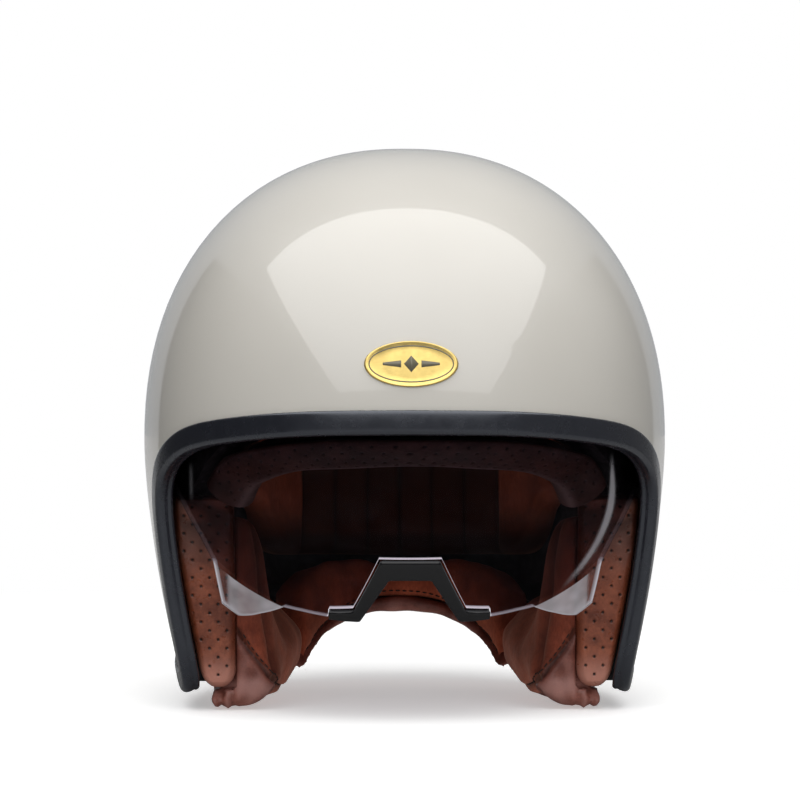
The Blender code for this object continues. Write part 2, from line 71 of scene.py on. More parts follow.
# Head forms: half width, front, rear, rise above the equator, loss at the nape.
PAD_BACK = (90.0, 103.0, 111.0, 98.5, 15.0)
HEAD = (77.0, 92.0, 101.0, 91.0, 10.0)
BROW_FRONT = (104.0, 124.0, 130.0, 116.0, 15.0)
NECK = (56.0, 80.0, 90.0, 80.0, 0.0)
SHELL_SIZES = (HALF_WIDTH, HALF_LENGTH, REAR_LENGTH, RISE, 0.0)


# ---- surfaces

def power(value, exponent):
    return np.sign(value) * np.abs(value) ** exponent


def level_of(z, rise=RISE):
    """Level 0 is the crown, 1 the equator, 2 the lowest rim."""
    z = np.asarray(z, float)
    share = np.clip((z - EQUATOR) / rise, 0, 1) ** (DOME_POWER / 2)
    return np.where(z >= EQUATOR, np.arccos(share) / (math.pi / 2), 1 + (EQUATOR - z) / DROP)


def form_points(sizes, phi, level):
    """Points of a head form; phi is 0 at the front, 90 at the wearer's left, 180 at the rear."""
    half_width, front, rear, rise, nape = sizes
    phi, level = np.broadcast_arrays(np.asarray(phi, float), np.asarray(level, float))
    upper = np.clip(level, 0, 1) * math.pi / 2
    low = np.clip(level - 1, 0, None)
    scale = np.sin(upper) ** (2 / DOME_POWER)
    z = EQUATOR + rise * np.clip(np.cos(upper), 0, None) ** (2 / DOME_POWER) - DROP * low
    wide = half_width * scale
    back = rear * scale
    if sizes is SHELL_SIZES:
        wide = wide - JAW_TAPER * low**1.6
        back = back - NAPE_TAPER * low**1.8
    else:
        back = back - nape * low**1.5
    angle = np.radians(phi)
    x = wide * power(np.sin(angle), 2 / PLAN_POWER)
    depth = power(np.cos(angle), 2 / PLAN_POWER)
    y = -depth * np.where(depth > 0, front * scale, back)
    return np.stack([x, y, z], -1)


def shell_points(phi, level):
    return form_points(SHELL_SIZES, phi, level)


def shell_normals(phi, level):
    step = 0.01
    phi, level = np.broadcast_arrays(np.asarray(phi, float), np.asarray(level, float))
    low = np.maximum(level - step, 0.02)
    along = shell_points(phi + 1, np.maximum(level, 0.02)) - shell_points(
        phi - 1, np.maximum(level, 0.02))
    down = shell_points(phi, low + 2 * step) - shell_points(phi, low)
    flat = (level < 0.03)[..., None]
    return np.where(flat, np.array([0.0, 0.0, 1.0]), unit(np.cross(down, along)))


def inset_points(phi, level, depth):
    depth = np.asarray(depth, float)
    return shell_points(phi, level) - shell_normals(phi, level) * depth[..., None]


def between_forms(inner, outer, phi, share, z):
    low = form_points(inner, phi, level_of(z, inner[3]))
    high = form_points(outer, phi, level_of(z, outer[3]))
    return low + (high - low) * np.asarray(share)[..., None]


def unit(vectors):
    return vectors / np.maximum(np.linalg.norm(vectors, axis=-1, keepdims=True), 1e-9)


def along_path(points):
    """Distance along a path at each of its points."""
    return np.concatenate([[0], np.cumsum(np.linalg.norm(np.diff(points, axis=0), axis=1))])


def full_turn(count):
    return 2 * math.pi * np.arange(count) / count


def smooth_step(value, start, end):
    share = np.clip((np.asarray(value, float) - start) / (end - start), 0, 1)
    return share * share * (3 - 2 * share)


def bell(value, middle, width):
    """1 at the middle, falling off smoothly on both sides."""
    return np.exp(-(((value - middle) / width) ** 2))


def spline(controls, count, closed=False):
    """Evenly spaced points on a smooth curve through the control points."""
    points = np.asarray(controls, float)
    if closed:
        points = np.concatenate([points[-1:], points, points[:2]])
    else:
        points = np.concatenate([[2 * points[0] - points[1]], points,
                                 [2 * points[-1] - points[-2]]])
    dense = []
    for index in range(1, len(points) - 2):
        before, start, end, after = points[index - 1 : index + 3]
        for t in np.arange(24) / 24:
            dense.append(start + 0.5 * t * (end - before)
                         + t * t * (before - 2.5 * start + 2 * end - 0.5 * after)
                         + t**3 * (-0.5 * before + 1.5 * start - 1.5 * end + 0.5 * after))
    dense.append(points[-2])
    dense = np.array(dense)
    run = along_path(dense)
    want = np.linspace(0, run[-1], count + 1)
    even = np.stack([np.interp(want, run, dense[:, k]) for k in range(dense.shape[1])], -1)
    return even[:-1] if closed else even


def closed_rim(controls, count):
    """A rim round the whole helmet, from points on its left half."""
    degree = 2.1
    half = spline([(phi * degree, z) for phi, z in controls], count)
    half[:, 0] /= degree
    back = half[-2:0:-1].copy()
    back[:, 0] = 360 - back[:, 0]
    return np.concatenate([half, back])


SHELL_RIM = closed_rim(
    [(0, 131.2), (18, 130.6), (34, 128.3), (48, 124.6), (57.5, 118.5), (64.5, 109), (68, 95),
     (69.2, 70), (69.8, 45), (70.6, 25), (72.5, 13.5), (78, 9.8), (92, 14), (120, 24), (150, 35),
     (180, 41)], 150)


# ---- mesh making

def add_mesh(name, points, faces, material, slot, smooth=True):
    data = bpy.data.meshes.new(name)
    data.from_pydata([tuple(p) for p in np.asarray(points) * MM], [], faces)
    mesh = bmesh.new()
    mesh.from_mesh(data)
    bmesh.ops.remove_doubles(mesh, verts=mesh.verts, dist=2e-7)
    bmesh.ops.recalc_face_normals(mesh, faces=mesh.faces)
    mesh.to_mesh(data)
    mesh.free()
    item = bpy.data.objects.new(name, data)
    SCENE.collection.objects.link(item)
    data.materials.append(material)
    data.polygons.foreach_set("use_smooth", [smooth] * len(data.polygons))
    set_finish(item, slot)
    return item


def sheet(outer, inner, wrap=False):
    """Points and faces of a closed wall between two grids; wrap joins the last row to the first."""
    rows, columns = outer.shape[:2]
    points = np.concatenate([outer.reshape(-1, 3), inner.reshape(-1, 3)])
    half = rows * columns
    faces = []
    last = rows if wrap else rows - 1
    for row in range(last):
        here, there = row * columns, ((row + 1) % rows) * columns
        for column in range(columns - 1):
            faces.append((here + column, here + column + 1, there + column + 1, there + column))
            faces.append((half + here + column, half + there + column,
                          half + there + column + 1, half + here + column + 1))
        for column in (0, columns - 1):
            faces.append((here + column, there + column, half + there + column,
                          half + here + column))
    if not wrap:
        for row in (0, (rows - 1) * columns):
            for column in range(columns - 1):
                faces.append((row + column, row + column + 1, half + row + column + 1,
                              half + row + column))
    return points, faces


def tube(sections, closed=False):
    """Points and faces through rings of points; closed joins the last ring to the first."""
    sections = np.asarray(sections)
    rings, count = sections.shape[:2]
    faces = []
    for ring in range(rings if closed else rings - 1):
        here, there = ring * count, ((ring + 1) % rings) * count
        for i in range(count):
            j = (i + 1) % count
            faces.append((here + i, here + j, there + j, there + i))
    if not closed:
        faces.append(tuple(range(count)))
        faces.append(tuple(range((rings - 1) * count, rings * count)))
    return sections.reshape(-1, 3), faces


def step_shares(steps):
    """Shares of the way from the rim to the crown, closer together near the rim."""
    return (np.arange(steps + 1) / steps) ** 1.15


def dome_grid(rim, steps, surface, rise):
    phi, z = rim[:, 0], rim[:, 1]
    crown = 360 * np.arange(len(rim)) / len(rim)
    share = step_shares(steps)
    phis = phi[:, None] + (crown - phi)[:, None] * share
    levels = level_of(z, rise)[:, None] * (1 - share)
    return surface(phis, levels), phis, levels


def read_points(item, key):
    found = np.zeros(len(item.data.vertices) * 3)
    item.data.vertices.foreach_get(key, found)
    return found.reshape(-1, 3)


def points_of(item):
    return read_points(item, "co") / MM


def normals_of(item):
    return read_points(item, "normal")


def mirrored(item, name):
    """The same piece for the other side of the helmet."""
    data = item.data.copy()
    data.name = name
    data.vertices.foreach_set("co", (read_points(item, "co") * (-1, 1, 1)).ravel())
    data.flip_normals()
    twin = bpy.data.objects.new(name, data)
    SCENE.collection.objects.link(twin)
    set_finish(twin, item["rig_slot"])
    return twin


def mark_points(item, name, values):
    layer = item.data.attributes.new(name, "FLOAT", "POINT")
    layer.data.foreach_set("value", np.asarray(values, np.float32))


def sources(item, grid):
    """The number of the grid point that each point of a merged mesh came from."""
    flat = grid.reshape(-1, 3)
    tree = KDTree(len(flat))
    for index, point in enumerate(flat):
        tree.insert(point, index)
    tree.balance()
    return np.array([tree.find(point)[1] for point in points_of(item)])


def mark_grid(item, grid, **marks):
    """Marks a mesh with values that are known on the grid it was made from."""
    places = sources(item, grid)
    for name, values in marks.items():
        mark_points(item, name, np.asarray(values).ravel()[places])


def stand_in(item, node, body="helmet"):
    """The piece takes a solid's place and moves with its body."""
    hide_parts(node)
    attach(item, body)


def set_points(item, spots):
    item.data.vertices.foreach_set("co", (np.asarray(spots) * MM).ravel())
    item.data.update()


def apply_modifiers(item):
    graph = bpy.context.evaluated_depsgraph_get()
    data = bpy.data.meshes.new_from_object(item.evaluated_get(graph))
    item.modifiers.clear()
    old = item.data
    item.data = data
    bpy.data.meshes.remove(old)


# ---- materials

class Nodes:
    """Adds nodes to one tree. A value is a number, a colour, or another node's output."""

    def __init__(self, tree):
        self.tree = tree

    def put(self, value, target):
        if isinstance(value, bpy.types.NodeSocket):
            self.tree.links.new(value, target)
        elif target.type == "RGBA":
            target.default_value = (*value, 1)
        else:
            target.default_value = value

    def fill(self, node, **values):
        for key, value in values.items():
            self.put(value, node.inputs[key])
        return node

    def add(self, kind, *values, **settings):
        """A new node: values fill its first inputs, and settings are its own properties."""
        node = self.tree.nodes.new(f"ShaderNode{kind}")
        for key, value in settings.items():
            setattr(node, key, value)
        for index, value in enumerate(values):
            self.put(value, node.inputs[index])
        return node

    def place(self, name="Object"):
        return self.add("TexCoord").outputs[name]

    def depth(self, name="Object"):
        """Distance towards the rear."""
        return self.add("SeparateXYZ", self.place(name)).outputs["Y"]

    def remap(self, source, low, high, to_low, to_high):
        return self.add("MapRange", source, low, high, to_low, to_high).outputs["Result"]

    def math(self, operation, first, second):
        return self.add("Math", first, second, operation=operation).outputs[0]

    def times(self, first, second):
        return self.math("MULTIPLY", first, second)

    def plus(self, first, second):
        return self.math("ADD", first, second)

    def mix(self, share, first, second):
        node = self.add("Mix", data_type="RGBA")
        for index, value in ((0, share), (6, first), (7, second)):
            self.put(value, node.inputs[index])
        return node.outputs[2]

    def blend(self, share, first, second):
        return self.add("MixShader", share, first, second).outputs[0]

    def shine(self, strength):
        return self.add("Emission", (1, 1, 1), strength).outputs[0]

    def ray(self, kind):
        return self.add("LightPath").outputs[f"Is {kind} Ray"]


class Shade(Nodes):
    """A node material around one Principled shader, in millimetre texture space."""

    def __init__(self, name, color, roughness, metallic=0.0):
        self.material = bpy.data.materials.new(name)
        self.material.use_nodes = True
        super().__init__(self.material.node_tree)
        self.shader = self.tree.nodes["Principled BSDF"]
        self.output = self.tree.nodes["Material Output"]
        self.set(**{"Base Color": color, "Roughness": roughness, "Metallic": metallic})
        scale = self.add("VectorMath", self.place(), operation="SCALE")
        self.space = self.fill(scale, Scale=1000).outputs[0]

    def set(self, **values):
        self.fill(self.shader, **values)

    def noise(self, scale, detail=4.0, roughness=0.55, space=None):
        node = self.add("TexNoise", space or self.space)
        return self.fill(node, Scale=scale, Detail=detail, Roughness=roughness).outputs["Fac"]

    def drift(self, scale, detail, low=0, high=1):
        """Slow noise between two values."""
        return self.remap(self.noise(scale, detail), 0.3, 0.7, low, high)

    def cells(self, scale, feature="F1"):
        node = self.add("TexVoronoi", self.space, feature=feature)
        return self.fill(node, Scale=scale).outputs["Distance"]

    def wave(self, scale, distortion, along):
        node = self.add("TexWave", self.space, bands_direction=along)
        return self.fill(node, Scale=scale, Distortion=distortion).outputs["Fac"]

    def stretch(self, x, y, z):
        return self.add("VectorMath", self.space, (x, y, z), operation="MULTIPLY").outputs[0]

    def attribute(self, name):
        return self.add("Attribute", attribute_name=name).outputs["Fac"]

    def color(self, source):
        self.set(**{"Base Color": source})

    def rough(self, source):
        self.set(Roughness=source)

    def bump(self, height, strength, distance):
        node = self.fill(self.add("Bump"), Strength=strength, Distance=distance * MM, Height=height)
        self.set(Normal=node.outputs["Normal"])


def paint_material():
    shade = Shade("cream_lacquer", (0.62, 0.60, 0.55), 0.28)
    shade.color(shade.mix(shade.drift(0.012, 2), (0.60, 0.575, 0.525), (0.635, 0.61, 0.56)))
    shade.set(**{"Coat Weight": 1.0, "Coat Roughness": 0.03, "Coat IOR": 1.5,
                 "Specular IOR Level": 0.3})
    shade.bump(shade.noise(0.09, 2), 0.03, 0.25)
    return shade.material


def rubber_material():
    black = (0.011, 0.012, 0.017)
    shade = Shade("black_edge_rubber", black, 0.3)
    shade.set(**{"Specular IOR Level": 1.0, "Specular Tint": (0.85, 0.9, 1),
                 "Coat Weight": 0.2, "Coat Roughness": 0.4})
    shade.rough(shade.drift(0.15, 3, 0.2, 0.3))
    dust = shade.remap(shade.noise(0.4, 6), 0.66, 0.85, 0, 0.15)
    shade.color(shade.mix(dust, black, (0.035, 0.036, 0.042)))
    shade.bump(shade.noise(2.2, 3), 0.12, 0.08)
    return shade.material


def leather_color(shade, deep, light):
    """Drifting tone with fine mottling, painted highlights on lit ridges, painted shade and dark
    perforations.
    """
    drift = shade.remap(shade.noise(0.07, 5, 0.65), 0.38, 0.62, 0, 1)
    fine = shade.remap(shade.noise(0.9, 7, 0.7), 0.35, 0.7, 0, 0.42)
    base = shade.mix(drift, deep, light)
    base = shade.mix(fine, base, tuple(0.4 * c for c in deep))
    # Painted highlight: a paler lit colour where its attribute marks ridges, crests and bulges.
    lit = tuple(1.15 * c + 0.13 for c in light)
    base = shade.mix(shade.times(shade.attribute("wear"), 0.6), base, lit)
    # Painted shade: near black where the shade attribute marks it.
    base = shade.mix(shade.attribute("shade"), base, tuple(0.12 * c for c in deep))
    return shade.mix(shade.attribute("hole"), base, (0.006, 0.004, 0.003))


def leather_relief(shade, grain_scale=0.85):
    grain = shade.remap(shade.cells(grain_scale, "DISTANCE_TO_EDGE"), 0, 0.12, 0, 1)
    return shade.plus(shade.times(grain, 0.25), shade.noise(0.22, 5, 0.6))


def leather_material(name, deep, light, roughness, grain_scale=0.85):
    shade = Shade(name, deep, roughness)
    shade.color(leather_color(shade, deep, light))
    shade.rough(shade.drift(0.3, 4, roughness - 0.07, roughness + 0.1))
    shade.bump(leather_relief(shade, grain_scale), 0.35, 0.5)
    shade.set(**{"Specular IOR Level": 0.45})
    return shade.material


def suede_color(shade, deep, light):
    """Nap in broad and fine patches; the shade attribute paints shade, sinking it towards near black.
    """
    broad = shade.remap(shade.noise(0.05, 5, 0.6), 0.35, 0.68, 0, 1)
    brushed = shade.remap(shade.noise(0.9, 6, 0.7, shade.stretch(1, 0.6, 0.35)), 0.3, 0.75, 0, 1)
    base = shade.mix(broad, deep, light)
    base = shade.mix(shade.times(brushed, 0.6), base, tuple(0.4 * c for c in deep))
    # Painted shade: near black where the shade attribute marks it.
    base = shade.mix(shade.attribute("shade"), base, (0.022, 0.008, 0.006))
    return shade.mix(shade.attribute("hole"), base, (0.008, 0.004, 0.003))


SUEDE_SHEEN = {"Sheen Roughness": 0.5, "Sheen Tint": (0.9, 0.45, 0.28),
               "Specular IOR Level": 0.15}


def suede_relief(shade):
    return shade.plus(shade.times(shade.noise(3.2, 4, 0.7), 0.3),
                      shade.noise(0.35, 4, 0.6))


def suede_material(name, deep, light):
    shade = Shade(name, deep, 0.95)
    shade.color(suede_color(shade, deep, light))
    shade.set(**SUEDE_SHEEN, **{"Sheen Weight": 0.2})
    shade.bump(suede_relief(shade), 0.3, 0.5)
    return shade.material


def cheek_material():
    """Suede above the seam and smooth leather below it, split by the seam attribute."""
    shade = Shade("cheek_suede_and_leather", SUEDE_DEEP, 0.95)
    smooth = shade.remap(shade.attribute("seam"), -0.25, 0.25, 1, 0)
    fuzzy = shade.math("SUBTRACT", 1.0, smooth)
    shade.color(shade.mix(smooth, suede_color(shade, SUEDE_DEEP, SUEDE_LIGHT),
                          leather_color(shade, ROSE_DEEP, ROSE_LIGHT)))
    shade.rough(shade.plus(shade.times(fuzzy, 0.5), shade.drift(0.3, 4, 0.3, 0.46)))
    shade.set(**{**SUEDE_SHEEN, "Specular IOR Level": 0.4, "Sheen Weight": shade.times(fuzzy, 0.2)})
    height = shade.plus(shade.times(suede_relief(shade), fuzzy),
                        shade.times(leather_relief(shade), smooth))
    shade.bump(height, 0.3, 0.5)
    return shade.material


def lens_material():
    """Smoked clear sheet: tinted see-through with a Fresnel reflection, and a pale film of faint
    streaks and painted glare and glint reflections.
    """
    shade = Shade("smoked_sheet", (0.4, 0.37, 0.4), 0.03)
    fold = shade.remap(shade.attribute("fold"), -0.12, 0.12, 0, 1)
    tint = shade.mix(fold, (0.70, 0.65, 0.69), (0.95, 0.95, 0.97))
    clear = shade.add("BsdfTransparent", tint).outputs[0]
    gloss = shade.fill(shade.add("BsdfGlossy"), Roughness=0.03, Color=(0.06, 0.06, 0.065))
    facing = shade.fill(shade.add("LayerWeight"), Blend=0.5).outputs["Facing"]
    rise = shade.math("POWER", facing, 5.0)
    fresnel = shade.plus(shade.times(rise, 0.9), 0.04)
    body = shade.blend(fresnel, clear, gloss.outputs[0])
    streak = shade.remap(shade.noise(0.05, 3, 0.5, shade.stretch(1, 1, 3)), 0.4, 0.7, 0.0, 0.002)
    # Painted reflections: patchy glare on the wing and the glint, laid on with the faint streaks as a
    # pale diffuse film.
    patchy_glare = shade.remap(shade.noise(0.05, 2, 0.5, shade.stretch(1, 1, 1.6)), 0.35, 0.65, 0.42, 0.74)
    glare = shade.times(shade.times(shade.attribute("glare"), fold), patchy_glare)
    streaks_and_painted_glare = shade.plus(shade.plus(streak, glare), shade.attribute("glint"))
    painted_glare_and_streak_film = shade.add("BsdfDiffuse", (0.75, 0.73, 0.78)).outputs[0]
    shade.fill(shade.output, Surface=shade.blend(streaks_and_painted_glare, body, painted_glare_and_streak_film))
    return shade.material


def lens_edge_material():
    shade = Shade("lens_cut_edge", (0.85, 0.85, 0.9), 0.12)
    # Painted highlight: the cut edge glows and turns opaque where its attribute marks it.
    painted_edge_glint = shade.attribute("painted_edge_glint")
    shade.set(**{"Alpha": shade.remap(painted_edge_glint, 0, 1, 0.12, 0.9), "Emission Color": (0.95, 0.95, 1),
                 "Emission Strength": shade.times(painted_edge_glint, 0.45)})
    shade.rough(shade.drift(0.5, 3, 0.05, 0.3))
    return shade.material


def plastic_material(name, color, roughness, grain=0.1):
    shade = Shade(name, color, roughness)
    shade.rough(shade.drift(0.25, 4, roughness * 0.8, roughness * 1.25))
    shade.bump(shade.noise(3.0, 3), grain, 0.05)
    return shade.material


def metal_material(name, color, roughness, along=(1, 1, 1)):
    shade = Shade(name, color, roughness, 1.0)
    brushed = shade.noise(1.5, 6, 0.7, shade.stretch(*along))
    shade.rough(shade.remap(brushed, 0.25, 0.75, roughness * 0.7, roughness * 1.5))
    shade.color(shade.mix(shade.drift(0.2, 4), color, tuple(0.8 * c for c in color)))
    shade.bump(brushed, 0.05, 0.05)
    return shade.material


def foam_material():
    """Expanded bead foam with a black skin."""
    shade = Shade("black_bead_foam", (0.02, 0.02, 0.022), 0.85)
    beads = shade.cells(0.28)
    shade.color(shade.mix(shade.remap(beads, 0.2, 0.75, 0, 1), (0.026, 0.026, 0.028),
                          (0.008, 0.008, 0.009)))
    shade.bump(shade.remap(beads, 0, 0.8, 1, 0), 0.5, 0.6)
    return shade.material


def webbing_material():
    shade = Shade("woven_webbing", (0.015, 0.015, 0.017), 0.8)
    weave = shade.times(shade.wave(0.62, 0.4, "Z"), shade.wave(0.4, 0.3, "Y"))
    shade.color(shade.mix(weave, (0.008, 0.008, 0.01), (0.035, 0.035, 0.04)))
    shade.bump(weave, 0.7, 0.35)
    return shade.material


PAINT = paint_material()
RUBBER = rubber_material()
TAN = leather_material("tan_leather", (0.17, 0.042, 0.020), (0.38, 0.105, 0.050), 0.32)
BROWN = leather_material("brow_leather", (0.056, 0.024, 0.019), (0.135, 0.062, 0.049), 0.34)
ROSE_DEEP, ROSE_LIGHT = (0.16, 0.048, 0.034), (0.32, 0.108, 0.078)
SUEDE_DEEP, SUEDE_LIGHT = (0.19, 0.038, 0.018), (0.40, 0.088, 0.042)
ROSE = leather_material("roll_leather", ROSE_DEEP, ROSE_LIGHT, 0.36)
SUEDE = suede_material("rust_suede", SUEDE_DEEP, SUEDE_LIGHT)
LINER_SUEDE = suede_material("liner_suede", (0.33, 0.078, 0.034), (0.62, 0.17, 0.08))
CHEEK = cheek_material()
LENS = lens_material()
LENS_EDGE = lens_edge_material()
GLOSS_BLACK = plastic_material("gloss_black", (0.008, 0.008, 0.009), 0.14, 0.02)
MATT_BLACK = plastic_material("matt_black", (0.018, 0.018, 0.02), 0.6, 0.2)
GOLD = metal_material("gold_leaf", (0.86, 0.64, 0.22), 0.34, (0.3, 1, 1))
STEEL = metal_material("satin_steel", (0.52, 0.52, 0.53), 0.3, (1, 0.2, 1))
FOAM = foam_material()
WEBBING = webbing_material()
THREAD = plastic_material("dark_thread", (0.03, 0.014, 0.009), 0.7, 0.3)
RING_GREY = plastic_material("emblem_grey", (0.16, 0.145, 0.10), 0.4, 0.05)


# ---- shell, trim, badge

def build_shell():
    outer, phis, levels = dome_grid(SHELL_RIM, 60, shell_points, RISE)
    inner = inset_points(phis, levels, np.full(phis.shape, SHELL_WALL))
    item = add_mesh("shell", *sheet(outer, inner, wrap=True), PAINT, "cream_paint")
    item.data.materials.append(MATT_BLACK)
    buried = sources(item, np.concatenate([outer, inner])) >= phis.size
    item.data.polygons.foreach_set(
        "material_index", [int(all(buried[v] for v in p.vertices)) for p in item.data.polygons])
    stand_in(item, "outer_shell")


def build_trim():
    """Moulded channel: outer band, rounded nose, a groove and a thin inner bead."""
    corners = [(-8.2, 0.4), (-8.15, 1.0), (-7.4, 1.45), (-4, 1.75), (0, 1.8), (1.5, 1.4),
               (2.4, 0.2), (2.55, -1.4), (2.45, -2.6), (2.15, -3.3), (2.1, -3.8), (2.3, -4.2),
               (2.45, -5.0), (2.1, -5.9), (1.2, -6.4), (-2, -6.55), (-5.2, -6.6), (-5.6, -6.0),
               (-5.5, -5.3), (-2, -4.9), (0.3, -4.6), (0.4, -3), (0.4, -1), (0.3, 0.35),
               (-4, 0.35)]
    profile = spline(corners, 72, closed=True)
    phi, level = SHELL_RIM[:, 0], level_of(SHELL_RIM[:, 1])
    spots = shell_points(phi, level)
    normal = shell_normals(phi, level)
    past = np.cross(unit(np.roll(spots, -1, 0) - np.roll(spots, 1, 0)), normal)
    inward = shell_points(phi, level * 0.9) - spots
    past *= -np.sign((past * inward).sum(1, keepdims=True))
    sections = (spots[:, None] + past[:, None] * profile[None, :, :1]
                + normal[:, None] * profile[None, :, 1:])
    item = add_mesh("rubber_trim", *tube(sections, closed=True), RUBBER, "black_rubber")
    stand_in(item, "edge_trim")


def on_brow(x, z, lift):
    """A point standing off the shell's brow, by its place across and up."""
    x, z = np.asarray(x, float), np.asarray(z, float)
    level = level_of(z)
    wide = HALF_WIDTH * np.sin(level * math.pi / 2) ** (2 / DOME_POWER)
    phi = np.degrees(np.arcsin(power(x / wide, PLAN_POWER / 2)))
    return inset_points(phi, level, -np.asarray(lift, float) * np.ones_like(x))


def badge_piece(name, x, z, top, foot, material, wrap=True):
    return add_mesh(name, *sheet(on_brow(x, z, top), on_brow(x, z, foot), wrap), material,
                    "gold_plate")


def build_badge():
    half_x, half_z, center_z = 20.5, 10.0, 159.6
    turn = full_turn(96)
    shares, lifts = np.array([(1.0, 0.55), (0.985, 0.9), (0.955, 1.05), (0.93, 0.85), (0.6, 0.8),
                              (0.3, 0.8), (0.0, 0.8)]).T
    x = half_x * np.cos(turn)[:, None] * shares
    z = center_z + half_z * np.sin(turn)[:, None] * shares
    stand_in(badge_piece("badge_plate", x, z, lifts, 0.3, GOLD), "front_badge")
    # Thin painted ring inside the border.
    inset = np.array([1.9, 1.9 + 0.55])
    x = (half_x - inset) * np.cos(turn)[:, None]
    z = center_z + (half_z - inset) * np.sin(turn)[:, None]
    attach(badge_piece("badge_ring", x, z, 0.88, 0.7, RING_GREY), "helmet")
    # Plain generic device: a lozenge between two tapering bars.
    for number, (x_mid, half_w, half_h) in enumerate(((0, 3.2, 3.6), (-8.4, 4.0, 1.5),
                                                      (8.4, 4.0, 1.5))):
        share = np.linspace(-1, 1, 13)
        height = half_h * (1 - np.abs(share))
        if number:
            height = half_h * (0.35 + 0.65 * (1 - math.copysign(1, x_mid) * share) / 2)
        across = x_mid + half_w * share
        x = np.stack([across, across], 1)
        z = center_z + np.stack([height + 0.02, -height - 0.02], 1)
        mark = badge_piece(f"badge_device_{number}", x, z, 0.9, 0.7, RING_GREY, wrap=False)
        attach(mark, "helmet")


# ---- crown liner

QUILT = 16.3
QUILTED_HALF = 3 * QUILT
LINER_STEPS = 90


def build_crown_liner():
    rim = closed_rim(
        [(0, 134), (40, 134), (57, 133), (64, 121), (70, 105), (79, 98.5), (98, 98),
         (112, 96.5), (120, 90), (125, 77), (133, 67), (150, 65.5), (180, 64.5)], 220)
    outer, inner = (dome_grid(rim, LINER_STEPS, lambda p, q: form_points(form, p, q), form[3])[0]
                    for form in (PAD_BACK, HEAD))
    toward = unit(inner - outer)
    x = inner[..., 0]
    share = step_shares(LINER_STEPS)[None, :]
    edge_mm = share * 190
    # Channels run front to back over the head, in the middle panel.
    offset = np.abs((x + QUILT / 2) % QUILT - QUILT / 2)
    middle = np.abs(x) < QUILTED_HALF
    swell = np.sqrt(np.clip(1 - (1 - offset / (QUILT / 2)) ** 2, 0, 1))
    side_gap = np.clip((np.abs(x) - QUILTED_HALF) / 12, 0, 1)
    side_swell = np.sqrt(np.clip(1 - (1 - side_gap) ** 2, 0, 1))
    puff = np.where(middle, 2.4 * swell, 3.4 * side_swell)
    fade = np.clip(share / 0.03, 0, 1) ** 0.5
    crown_fade = np.clip((1 - share) / 0.08, 0, 1)
    wave = 0.5 * np.sin(inner[..., 1] * 0.16 + x * 0.05) * np.sin(inner[..., 2] * 0.12)
    lift = (puff + wave) * fade * crown_fade - 1.6
    inner = inner + toward * lift[..., None]
    # The rim is rolled: both faces draw together at the very edge.
    roll = (1 - np.clip(edge_mm / 5.0, 0, 1)) ** 2
    mid = (inner + outer) / 2
    inner = inner + (mid - inner) * (0.55 * roll)[..., None]
    outer = outer + (mid - outer) * (0.2 * roll)[..., None]
    item = add_mesh("crown_lining", *sheet(outer, inner, wrap=True), LINER_SUEDE, "suede")
    seam = np.where(np.abs(x) < QUILTED_HALF + 1, bell(offset, 0, 0.9), 0)
    # Painted shade: the quilted middle darkens towards the rear, the suede sides sink into dark towards
    # the lower edge, and the rim darkens at the front, between the brow pad and the trim.
    rear = smooth_step(QUILTED_HALF + 1 - np.abs(x), 0, 1.5) * smooth_step(inner[..., 1], -20, 60)
    deep = (1 - smooth_step(inner[..., 2], 72, 98)) * smooth_step(inner[..., 1], -20, 30)
    brow_edge = smooth_step(-inner[..., 1], 30, 50) * (1 - smooth_step(edge_mm, 8, 16))
    mark_grid(item, inner, hole=0.85 * seam * crown_fade,
              shade=np.maximum(np.maximum(0.9 * rear, deep), brow_edge))
    stand_in(item, "crown_liner")


# ---- perforated leather

CHEEK_FRONT = -43.7
CHEEK_OUTER = 85.9
PANEL_NEAR = 79.3
PANEL_DEPTH = 8.3
PANEL_FOOT = 10.2
PANEL_HEAD = 99.8
HOLE_ROW = 4.1
HOLE_PITCH = 8.0
HOLE_RADIUS = 0.72
BROW_DEPTH = 32
BROW_RADIUS = 92


def hole_mask(across, up):
    """1 in the middle of each perforation of a staggered pattern, 0 on plain leather."""
    row = np.round(up / HOLE_ROW)
    shift = np.where(row % 2 == 0, 0.0, HOLE_PITCH / 2)
    column = np.round((across - shift) / HOLE_PITCH)
    distance = np.hypot(across - shift - column * HOLE_PITCH, up - row * HOLE_ROW)
    return 1 - smooth_step(distance, HOLE_RADIUS * 0.65, HOLE_RADIUS * 1.2)


